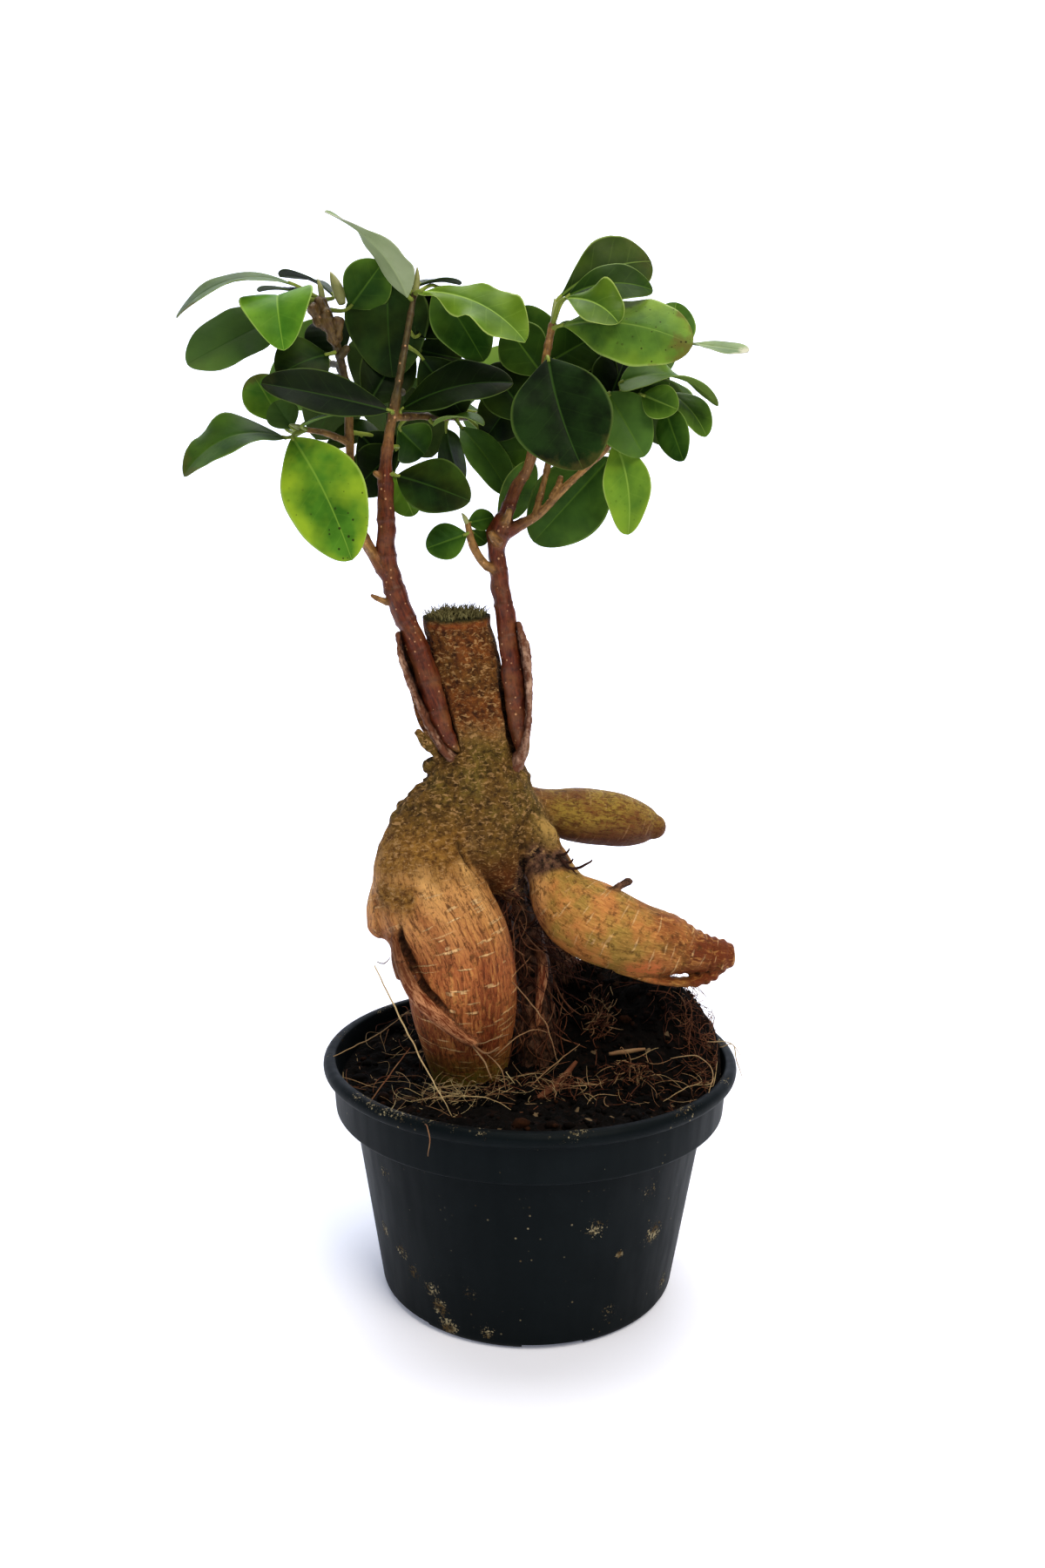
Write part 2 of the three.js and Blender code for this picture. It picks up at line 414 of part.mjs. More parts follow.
function leafGeometry([, basePoint, tipPoint, width, turn, arch, fold, twist, sweep, widest]) {
  const base = new THREE.Vector3(...basePoint);
  const tip = new THREE.Vector3(...tipPoint);
  const length = base.distanceTo(tip);
  const along = tip.clone().sub(base).normalize();
  const face = FRONT.clone().addScaledVector(along, -FRONT.dot(along)).normalize()
    .applyAxisAngle(along, radians(turn));
  const side = new THREE.Vector3().crossVectors(along, face);
  const foot = stalkFoot(base);
  const slab = (centre, out, across, half, thick) => [
    centre.clone().addScaledVector(across, half * Math.cos(radians(fold)))
      .addScaledVector(out, half * Math.sin(radians(fold))),
    centre.clone().addScaledVector(out, thick / 2),
    centre.clone().addScaledVector(across, -half * Math.cos(radians(fold)))
      .addScaledVector(out, half * Math.sin(radians(fold))),
    centre.clone().addScaledVector(out, -thick / 2),
  ];
  // The stalk leaves its twig squarely and bends into the line of the blade
  const bend = new THREE.Quaternion().setFromUnitVectors(along, base.clone().sub(foot).normalize());
  const stalkRing = (point, share) => {
    const turned = new THREE.Quaternion().slerp(bend, share);
    const [out, across] = [face, side].map((axis) => axis.clone().applyQuaternion(turned));
    return slab(point, out, across, STALK_RADIUS, 2 * STALK_RADIUS);
  };
  const rings = [stalkRing(foot, 1), stalkRing(foot.clone().lerp(base, 0.5), 1), stalkRing(base, 0.5)];
  const skew = Math.log(0.5) / Math.log(widest);
  for (const t of BLADE_STATIONS) {
    const bow = 4 * t * (1 - t) * length;
    const out = face.clone().applyAxisAngle(along, radians(twist * t));
    const across = side.clone().applyAxisAngle(along, radians(twist * t));
    const centre = base.clone().addScaledVector(along, length * t)
      .addScaledVector(face, arch * bow).addScaledVector(side, sweep * bow);
    const half = (width / 2) * Math.sin(Math.PI * t ** skew) ** 0.75;
    rings.push(slab(centre, out, across, half, LEAF_THICKNESS));
  }
  rings.push([tip]);
  return skin(rings, true);
}

// Materials
function material(color, roughness) {
  return new THREE.MeshStandardMaterial({ color, roughness, metalness: 0 });
}

const LEAF_TONES = {
  dark: material(0x1d3419, 0.3),
  mid: material(0x2f5a20, 0.35),
  bright: material(0x5c8a2a, 0.4),
  lime: material(0x86a83a, 0.4),
  olive: material(0x5a6e34, 0.4),
  pale: material(0x9aac7c, 0.6),
};

// Assembly
const tree = new THREE.Group();

function place(name, geometry, surface) {
  const mesh = new THREE.Mesh(geometry, surface);
  mesh.name = name;
  tree.add(mesh);
}

const stem = (rows, options) => limb(rows, { sides: 7, step: 9, ...options });
const stems = (main, twigs, options) => join([main, ...twigs].map((rows) => toSolid(stem(rows, options))));
const leftScion = stems(LEFT_STEM, LEFT_TWIGS);
const rightScion = stems(RIGHT_STEM, RIGHT_TWIGS);
const graftRoom = toSolid(stem(LEFT_STEM, { grow: GAP })).add(toSolid(stem(RIGHT_STEM, { grow: GAP })));

const thickRoots = (grow) => join([
  limb(TRUNK, { flatStart: true, grow }), limb(NECK, { sides: 14, grow }), limb(LEG, { sides: 16, grow }),
  limb(REAR_ROOT, { sides: 10, grow }), limb(ROOT_FIBRES, { sides: 8, step: 8, grow }),
  limb(RED_ROOT, { sides: 6, step: 8, grow }),
].map(toSolid));
const rootstock = join([
  thickRoots(0), ...[
    limb(RIGHT_TUBER, { sides: 14 }), limb(FINGER_TUBER), limb(LEG_BULGE, { sides: 8 }),
    ...[SIDE_ROOT, NECK_KNOB, RIGHT_KNOB].map((rows) => limb(rows, { sides: 6 })),
    ...[CUT_TWIG, TUBER_TWIG].map((rows) => limb(rows, { sides: 6 })),
    ...[LEFT_TONGUE, RIGHT_TONGUE].map((rows) => limb(rows, { sides: 8, step: 8 })),
  ].map(toSolid),
]).subtract(graftRoom);

place("pot", toGeometry(potSolid()), material(0x1a2024, 0.45));
place("soil", toGeometry(soilSolid().subtract(thickRoots(GAP))), material(0x17110d, 0.95));
place("rootstock", toGeometry(rootstock), material(0xb0762f, 0.7));
place("scion_left", toGeometry(leftScion), material(0x80482a, 0.65));
place("scion_right", toGeometry(rightScion), material(0x80482a, 0.65));
for (const leaf of LEAVES) {
  place(`leaf_${leaf[0]}`, leafGeometry(leaf), LEAF_TONES[leaf[leaf.length - 1]]);
}

export default tree;
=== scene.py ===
# A ginseng ficus grown as a small bonsai in a black nursery pot: the looks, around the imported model.
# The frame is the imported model's: metres, +Z up, the front at -Y, the origin under the pot's middle.
import json
import math
import random

import bmesh
import bpy
import numpy as np
from mathutils import Matrix, Vector, noise

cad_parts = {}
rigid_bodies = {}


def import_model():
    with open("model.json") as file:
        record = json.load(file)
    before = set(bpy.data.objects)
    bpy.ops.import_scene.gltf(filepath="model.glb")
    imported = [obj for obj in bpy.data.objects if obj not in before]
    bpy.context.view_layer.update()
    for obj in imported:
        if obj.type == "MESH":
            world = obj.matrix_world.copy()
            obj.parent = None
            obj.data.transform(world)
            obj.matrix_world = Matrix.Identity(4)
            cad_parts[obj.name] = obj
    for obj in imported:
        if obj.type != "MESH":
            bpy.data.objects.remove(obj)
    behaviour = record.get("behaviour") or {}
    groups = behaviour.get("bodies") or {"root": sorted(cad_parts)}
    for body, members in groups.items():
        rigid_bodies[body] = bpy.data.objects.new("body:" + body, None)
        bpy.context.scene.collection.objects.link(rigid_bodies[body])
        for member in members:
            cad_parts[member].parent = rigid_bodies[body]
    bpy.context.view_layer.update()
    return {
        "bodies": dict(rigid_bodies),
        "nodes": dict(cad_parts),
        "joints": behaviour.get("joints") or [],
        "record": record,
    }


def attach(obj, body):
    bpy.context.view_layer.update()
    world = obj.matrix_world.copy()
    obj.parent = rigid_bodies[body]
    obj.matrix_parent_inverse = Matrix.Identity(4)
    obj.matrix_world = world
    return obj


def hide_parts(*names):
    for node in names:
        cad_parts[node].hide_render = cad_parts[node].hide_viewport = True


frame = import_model()

# The nursery pot: injection-moulded polypropylene with a rolled lip, a collar and six drainage
# channels under its base. It is turned from one profile, as its mould is, and then cut from below.
MM = 0.001
RIM_RADIUS = 60
POT_HEIGHT = 68.5
COLLAR_BOTTOM = 53.5
COLLAR_RADIUS = 56.6
BODY_TOP_RADIUS = 51.4
BASE_RADIUS = 43
WALL = 1.1
POT_FLOOR = 3.2  # with the roofs of the channels
POT_SECTORS = 240
CHANNEL_COUNT = 6
CHANNEL_WIDTH = 17
CHANNEL_HEIGHT = 1.8
CHANNEL_START = 27
FIRST_CHANNEL = -80.5
DRAIN_HOLE_RADIUS = 4
DRAIN_HOLE_AT = 35


def linear(colour):
    """An sRGB hex colour as the linear RGBA that a shader takes."""
    parts = [int(colour[i:i + 2], 16) / 255 for i in (1, 3, 5)]
    return [c / 12.92 if c <= 0.04045 else ((c + 0.055) / 1.055) ** 2.4 for c in parts] + [1]


def node(material, kind, sockets=None, out=0, stops=(), **settings):
    """Adds a node with its settings, fills or links its sockets, and returns one of its outputs.
    A socket's value may be a hex colour, or None to leave it as it is. Stops are a ramp's colours."""
    new = material.node_tree.nodes.new("ShaderNode" + kind)
    for name, value in settings.items():
        setattr(new, name, value)
    if stops:
        ramp = new.color_ramp.elements
        ramp[0].position, ramp[1].position = stops[0][0], stops[-1][0]
        for position, _ in stops[1:-1]:
            ramp.new(position)
        for stop, (_, colour) in zip(ramp, stops):
            stop.color = linear(colour)
    for name, value in (sockets or {}).items():
        if isinstance(value, bpy.types.NodeSocket):
            material.node_tree.links.new(value, new.inputs[name])
        elif value is not None:
            new.inputs[name].default_value = linear(value) if isinstance(value, str) else value
    return new.outputs[out]


def pitch(size):
    """A pattern's scale, from the size of what it shows in millimetres."""
    return 1 / (size * MM)


def finish(name, **constants):
    """A finish with its shader's even values set, and a function that links the ones that vary."""
    material = bpy.data.materials.new(name)
    material.use_nodes = True
    shader = material.node_tree.nodes["Principled BSDF"]
    for socket, value in constants.items():
        shader.inputs[socket.replace("_", " ")].default_value = value

    def wire(**varying):
        for socket, output in varying.items():
            material.node_tree.links.new(output, shader.inputs[socket.replace("_", " ")])
    return material, wire


def solid(name, points, faces, scale=MM):
    """A mesh object in the scene, from points in millimetres."""
    mesh = bpy.data.meshes.new(name)
    mesh.from_pydata((np.asarray(points, float) * scale).tolist(), [], [tuple(face) for face in faces])
    thing = bpy.data.objects.new(name, mesh)
    bpy.context.scene.collection.objects.link(thing)
    return thing


def rooted(name, points, faces, material, slot, *stands_for):
    """A smooth piece from points in millimetres that stays with the pot, the one body."""
    thing = solid(name, points, faces)
    thing.data.materials.append(material)
    thing.data.shade_smooth()
    thing.data.validate()
    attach(thing, "root")
    if stands_for:
        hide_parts(*stands_for)
    return thing


def rounded(outline, steps=4):
    """An outline of (radius, height, corner size) rows with each corner eased."""
    points = []
    for i, (r, z, size) in enumerate(outline):
        here = np.array([r, z], float)
        if not size:
            points.append(here)
            continue
        before = np.array(outline[i - 1][:2], float) - here
        after = np.array(outline[(i + 1) % len(outline)][:2], float) - here
        start = here + before * min(0.5, size / np.linalg.norm(before))
        end = here + after * min(0.5, size / np.linalg.norm(after))
        for t in np.linspace(0, 1, steps + 1):
            points.append((1 - t) ** 2 * start + 2 * t * (1 - t) * here + t ** 2 * end)
    return np.array(points)


def bridge(low, high, sides):
    """The faces between two rings of points, which start at the two numbers."""
    return [(low + k, low + (k + 1) % sides, high + (k + 1) % sides, high + k) for k in range(sides)]


def turned(outline, sectors):
    """Turns an outline that starts and ends on the axis. Its ends close as two single points."""
    ring = outline[1:-1]
    angles = np.arange(sectors) * 2 * math.pi / sectors
    points = [[r * math.cos(a), r * math.sin(a), z] for r, z in ring for a in angles]
    points += [[0, 0, outline[0][1]], [0, 0, outline[-1][1]]]
    low, high = len(points) - 2, len(points) - 1
    faces = []
    for i in range(len(ring) - 1):
        faces += bridge(i * sectors, (i + 1) * sectors, sectors)
    last = (len(ring) - 1) * sectors
    for k in range(sectors):
        m = (k + 1) % sectors
        faces.append([low, m, k])
        faces.append([high, last + k, last + m])
    return points, faces


def cut_away(body, cutters):
    """Cuts closed shapes, given as (points, faces) in millimetres, out of a piece."""
    for points, faces in cutters:
        tool = solid("cutter", points, faces)
        modifier = body.modifiers.new("cut", "BOOLEAN")
        modifier.operation = "DIFFERENCE"
        modifier.object = tool
        cut = bpy.data.meshes.new_from_object(body.evaluated_get(bpy.context.evaluated_depsgraph_get()))
        body.modifiers.clear()
        body.data = cut
        bpy.data.objects.remove(tool)


def channel_cutter(angle):
    """A block along one drainage channel."""
    turn = Matrix.Rotation(math.radians(angle), 3, "Z")
    near, far, half = CHANNEL_START, BASE_RADIUS + 6, CHANNEL_WIDTH / 2
    corners = [(near, -half), (far, -half), (far, half), (near, half)]
    points = [turn @ Vector((x, y, z)) for z in (-2, CHANNEL_HEIGHT) for x, y in corners]
    return points, [(3, 2, 1, 0), (4, 5, 6, 7), (0, 1, 5, 4), (1, 2, 6, 5), (2, 3, 7, 6), (3, 0, 4, 7)]


def drain_cutter(angle, sides=28):
    """A round post through one drain hole."""
    middle = Matrix.Rotation(math.radians(angle), 3, "Z") @ Vector((DRAIN_HOLE_AT, 0, 0))
    turns = [2 * math.pi * k / sides for k in range(sides)]
    points = [middle + Vector((DRAIN_HOLE_RADIUS * math.cos(a), DRAIN_HOLE_RADIUS * math.sin(a), z))
              for z in (-2, POT_FLOOR + 2) for a in turns]
    ends = [tuple(range(sides))[::-1], tuple(range(sides, 2 * sides))]
    return points, ends + bridge(0, sides, sides)


# Polypropylene, moulded in a lightly polished steel tool and dyed with carbon black: near black
# with a green-blue cast, a broad soft sheen, faint flow lines, and dust and lime dried on it.
POT_DIRT = [
    # angle, height, reach, strength: where watering left lime and soil on the body
    (-125.4, 14, 4.5, 0.75), (-122.5, 9, 4.5, 0.9), (-119.6, 3.5, 5, 0.95), (-149, 24, 4, 0.7),
    (-139, 21, 4.5, 0.7), (-133, 16.5, 4, 0.7), (-59, 26.6, 2.6, 0.95), (-44.4, 28.9, 6, 0.8),
    (-68.8, 36.6, 5, 0.7), (-142, 44, 4, 0.6), (-30, 8.5, 5, 0.6), (-109.7, 16, 4, 0.5),
    (-60, 9, 5, 0.5), (-104, 4.7, 4, 0.7), (-50, 44, 6, 0.5), (72, 20, 8, 0.8), (130, 12, 7, 0.8),
    (20, 30, 6, 0.7), (175, 36, 6, 0.7),
]
plastic, wire = finish("moulded_polypropylene", IOR=1.49, Metallic=0, Specular_IOR_Level=0.09)
place = node(plastic, "TexCoord", out="Object")
cloud, grit, which, ragged, warm = (
    node(plastic, "TexNoise", {"Vector": place, "Scale": pitch(size), "Detail": detail, "Roughness": rough})
    for size, detail, rough in [(18.18, 4, 0.5), (1.111, 5, 0.7), (14.29, 2, 0.5), (0.769, 5, 0.7),
                                 (3.333, 2, 0.5)])
flow = node(plastic, "Mapping", {"Vector": place, "Scale": (1, 1, 0.12)})
streak = node(plastic, "TexNoise", {"Vector": flow, "Scale": pitch(3.846), "Detail": 3})
speck = node(plastic, "TexVoronoi", {"Vector": place, "Scale": pitch(3.125)})
which = node(plastic, "MapRange", {"Value": which, "From Min": 0.48, "From Max": 0.62, "To Max": 0.8})
patches = []
for angle, z, size, strength in POT_DIRT:
    radius = BASE_RADIUS + 0.4 + (z - 4) * (BODY_TOP_RADIUS - BASE_RADIUS - 0.4) / (COLLAR_BOTTOM - 4)
    spot = Matrix.Rotation(math.radians(angle), 3, "Z") @ Vector((radius, 0, z)) * MM
    gap = node(plastic, "VectorMath", {0: place, 1: spot}, out="Value", operation="DISTANCE")
    patches.append(node(plastic, "MapRange", {"Value": gap, "From Min": size * MM,
                                              "From Max": 0.2 * size * MM, "To Max": strength},
                        interpolation_type="SMOOTHSTEP"))
height = node(plastic, "SeparateXYZ", {0: place}, out="Z")
lip = node(plastic, "MapRange", {"Value": height, "From Min": 65.5 * MM, "From Max": 68 * MM,
                                 "To Max": 0.75})
patches.append(node(plastic, "Math", {0: lip, 1: which}, operation="MULTIPLY"))
reach = 0
for patch in patches:
    reach = node(plastic, "Math", {0: reach, 1: patch}, operation="MAXIMUM")
crust = node(plastic, "Math", {0: reach, 1: 0.3, 2: ragged}, operation="MULTIPLY_ADD")
crust = node(plastic, "MapRange", {"Value": crust, "From Min": 0.7, "From Max": 0.76, "To Max": 0.9})
dots = node(plastic, "MapRange", {"Value": speck, "From Min": 0.12, "From Max": 0.05})
dots = node(plastic, "Math", {0: dots, 1: which}, operation="MULTIPLY")
dirt = node(plastic, "Math", {0: crust, 1: dots}, operation="MAXIMUM")
film = node(plastic, "MapRange", {"Value": cloud, "From Min": 0.42, "From Max": 0.75, "To Max": 0.12})
black = node(plastic, "MixRGB", {"Fac": film, "Color1": "#0b1214", "Color2": "#262d30"})
warm = node(plastic, "MapRange", {"Value": warm, "From Min": 0.42, "From Max": 0.6})
dust = node(plastic, "MixRGB", {"Fac": warm, "Color1": "#5a4a30", "Color2": "#a89c7c"})
colour = node(plastic, "MixRGB", {"Fac": dirt, "Color1": black, "Color2": dust})
sheen = node(plastic, "MapRange", {"Value": streak, "From Min": 0.3, "From Max": 0.7, "To Min": 0.46,
                                   "To Max": 0.58})
dull = node(plastic, "MixRGB", {"Fac": dirt, "Color1": sheen, "Color2": "#e8e8e8"})
ripple = None
for height, strength, depth in [(cloud, 0.25, 0.6), (grit, 0.2, 0.05), (dirt, 0.8, 0.25)]:
    ripple = node(plastic, "Bump", {"Height": height, "Strength": strength, "Distance": depth * MM,
                                    "Normal": ripple})
wire(Base_Color=colour, Roughness=dull, Normal=ripple)

pot_profile = rounded([
    (0, 0, 0), (BASE_RADIUS - 1.8, 0, 1.2), (BASE_RADIUS, 1.3, 1), (BASE_RADIUS + 0.4, 4, 1),
    (BODY_TOP_RADIUS, COLLAR_BOTTOM - 0.2, 0.5), (COLLAR_RADIUS - 0.1, COLLAR_BOTTOM, 0.9),
    (RIM_RADIUS - 2.7, 64.1, 0.7), (RIM_RADIUS - 0.2, 65, 0.9), (RIM_RADIUS + 0.2, 67, 1.1),
    (RIM_RADIUS - 1, POT_HEIGHT + 0.1, 1), (RIM_RADIUS - 3.3, POT_HEIGHT - 0.1, 0.8),
    (RIM_RADIUS - 3.8, 65, 1), (COLLAR_RADIUS - WALL - 0.3, COLLAR_BOTTOM + WALL, 0.6),
    (BODY_TOP_RADIUS - WALL, COLLAR_BOTTOM + WALL - 0.2, 0.6), (BASE_RADIUS - WALL + 0.3, 5, 1),
    (BASE_RADIUS - WALL - 1, POT_FLOOR, 0.6), (0, POT_FLOOR, 0),
])
points, faces = turned(pot_profile, POT_SECTORS)
pot = rooted("nursery_pot", points, faces, plastic, "pot_plastic", "pot")
channel_angles = [FIRST_CHANNEL + k * 360 / CHANNEL_COUNT for k in range(CHANNEL_COUNT)]
cut_away(pot, [channel_cutter(angle) for angle in channel_angles])
cut_away(pot, [drain_cutter(angle) for angle in channel_angles])
pot.data.set_sharp_from_angle(angle=math.radians(38))

# The potting mix: dark moist peat with bark fines and old roots, heaped at the right and behind
# the leg where the root ball was lifted. It fills the pot, so it is one solid with a crumbly top.
SOIL_LEVEL = 62
SOIL_BOTTOM = 4.2
SOIL_RADIUS = 55.6
SOIL_GRID = 104  # squares along half a side
SOIL_MOUNDS = [
    # x, y, height, spread
    (20, 22, 25, 17), (44, 8, 15, 11), (-24, 42, 8, 14), (6, -50, 3, 22), (-44, -6, -4, 14),
]


def soil_height(x, y):
    """The broad lie of the soil, in millimetres."""
    return SOIL_LEVEL + sum(height * math.exp(-((x - cx) ** 2 + (y - cy) ** 2) / (2 * spread ** 2))
                            for cx, cy, height, spread in SOIL_MOUNDS)


def crumbs_height(x, y):
    """The soil's surface with its crumbs: clods of 6 mm, crumbs of 2 mm and grains under 1 mm."""
    edge = min(1, (SOIL_RADIUS - math.hypot(x, y)) / 4)
    place = Vector((x, y, 0))
    clods = 1 - 2 * abs(noise.noise(place / 7 + Vector((3, 1, 7))))
    crumbs = noise.voronoi(place / 2.6 + Vector((0, 0, 0.5)))[0][0]
    grains = noise.noise(place / 0.9)
    return soil_height(x, y) + edge * (1.3 * clods + 1.5 * (0.45 - crumbs) + 0.35 * grains)


def disc_point(a, b):
    """Maps a square's point to a disc, so that a square grid fills the pot evenly."""
    if abs(a) > abs(b):
        radius, angle = a, math.pi / 4 * b / a
    elif b:
        radius, angle = b, math.pi / 2 - math.pi / 4 * a / b
    else:
        radius, angle = 0, 0
    return radius * math.cos(angle), radius * math.sin(angle)


def soil_shape():
    """The soil's top as a disc of squares, and its side and bottom under the disc's edge."""
    side = 2 * SOIL_GRID + 1
    points = []
    for j in range(side):
        for i in range(side):
            x, y = disc_point(i / SOIL_GRID - 1, j / SOIL_GRID - 1)
            x, y = x * SOIL_RADIUS, y * SOIL_RADIUS
            points.append((x, y, crumbs_height(x, y)))
    faces = [(j * side + i, j * side + i + 1, (j + 1) * side + i + 1, (j + 1) * side + i)
             for j in range(side - 1) for i in range(side - 1)]
    last = side - 1
    border = list(range(last)) + [j * side + last for j in range(last)]
    border += [last * side + i for i in range(last, 0, -1)] + [j * side for j in range(last, 0, -1)]
    above = border
    clear = WALL + 0.45  # it stops short of the wall
    for radius, height in [(COLLAR_RADIUS - clear - 1.3, COLLAR_BOTTOM + WALL + 0.6),
                           (BODY_TOP_RADIUS - clear, COLLAR_BOTTOM + WALL + 0.2),
                           (BASE_RADIUS - clear + 0.3, SOIL_BOTTOM)]:
        below = []
        for index in border:
            x, y, _ = points[index]
            share = radius / math.hypot(x, y)
            below.append(len(points))
            points.append((x * share, y * share, height))
        count = len(border)
        faces += [(above[k], below[k], below[(k + 1) % count], above[(k + 1) % count]) for k in range(count)]
        above = below
    points.append((0, 0, SOIL_BOTTOM))
    centre = len(points) - 1
    faces += [(above[k], centre, above[(k + 1) % len(above)]) for k in range(len(above))]
    return points, faces


# Moist peat: nearly black brown and matt, with redder bark fines and a few dry pale grains
peat, wire = finish("moist_peat_and_bark", Roughness=0.95, IOR=1.4, Specular_IOR_Level=0.2)
place = node(peat, "TexCoord", out="Object")
damp = node(peat, "TexNoise", {"Vector": place, "Scale": pitch(11.11), "Detail": 4})
damp = node(peat, "MapRange", {"Value": damp, "From Min": 0.42, "From Max": 0.62})
grain = node(peat, "TexVoronoi", {"Vector": place, "Scale": pitch(1.538)}, out="Color")
grain = node(peat, "SeparateColor", {0: grain}, out="Red")
reddish = node(peat, "MapRange", {"Value": grain, "From Min": 0.78, "From Max": 0.97, "To Max": 0.6})
pale = node(peat, "MapRange", {"Value": grain, "From Min": 0.985, "From Max": 0.995, "To Max": 0.4})
fine = node(peat, "TexNoise", {"Vector": place, "Scale": pitch(0.6667), "Detail": 3})
colour = node(peat, "MixRGB", {"Fac": damp, "Color1": "#060504", "Color2": "#100c09"})
colour = node(peat, "MixRGB", {"Fac": reddish, "Color1": colour, "Color2": "#24150e"})
colour = node(peat, "MixRGB", {"Fac": pale, "Color1": colour, "Color2": "#a08a6a"})
crumb = node(peat, "TexVoronoi", {"Vector": place, "Scale": pitch(1.25)})
lumps = node(peat, "Bump", {"Height": crumb, "Strength": 0.7, "Distance": 0.5 * MM})
lumps = node(peat, "Bump", {"Height": fine, "Strength": 0.5, "Distance": 0.2 * MM, "Normal": lumps})
wire(Base_Color=colour, Normal=lumps)

points, faces = soil_shape()
soil = rooted("potting_mix", points, faces, peat, "potting_mix", "soil")
soil.data.set_sharp_from_angle(angle=math.radians(50))

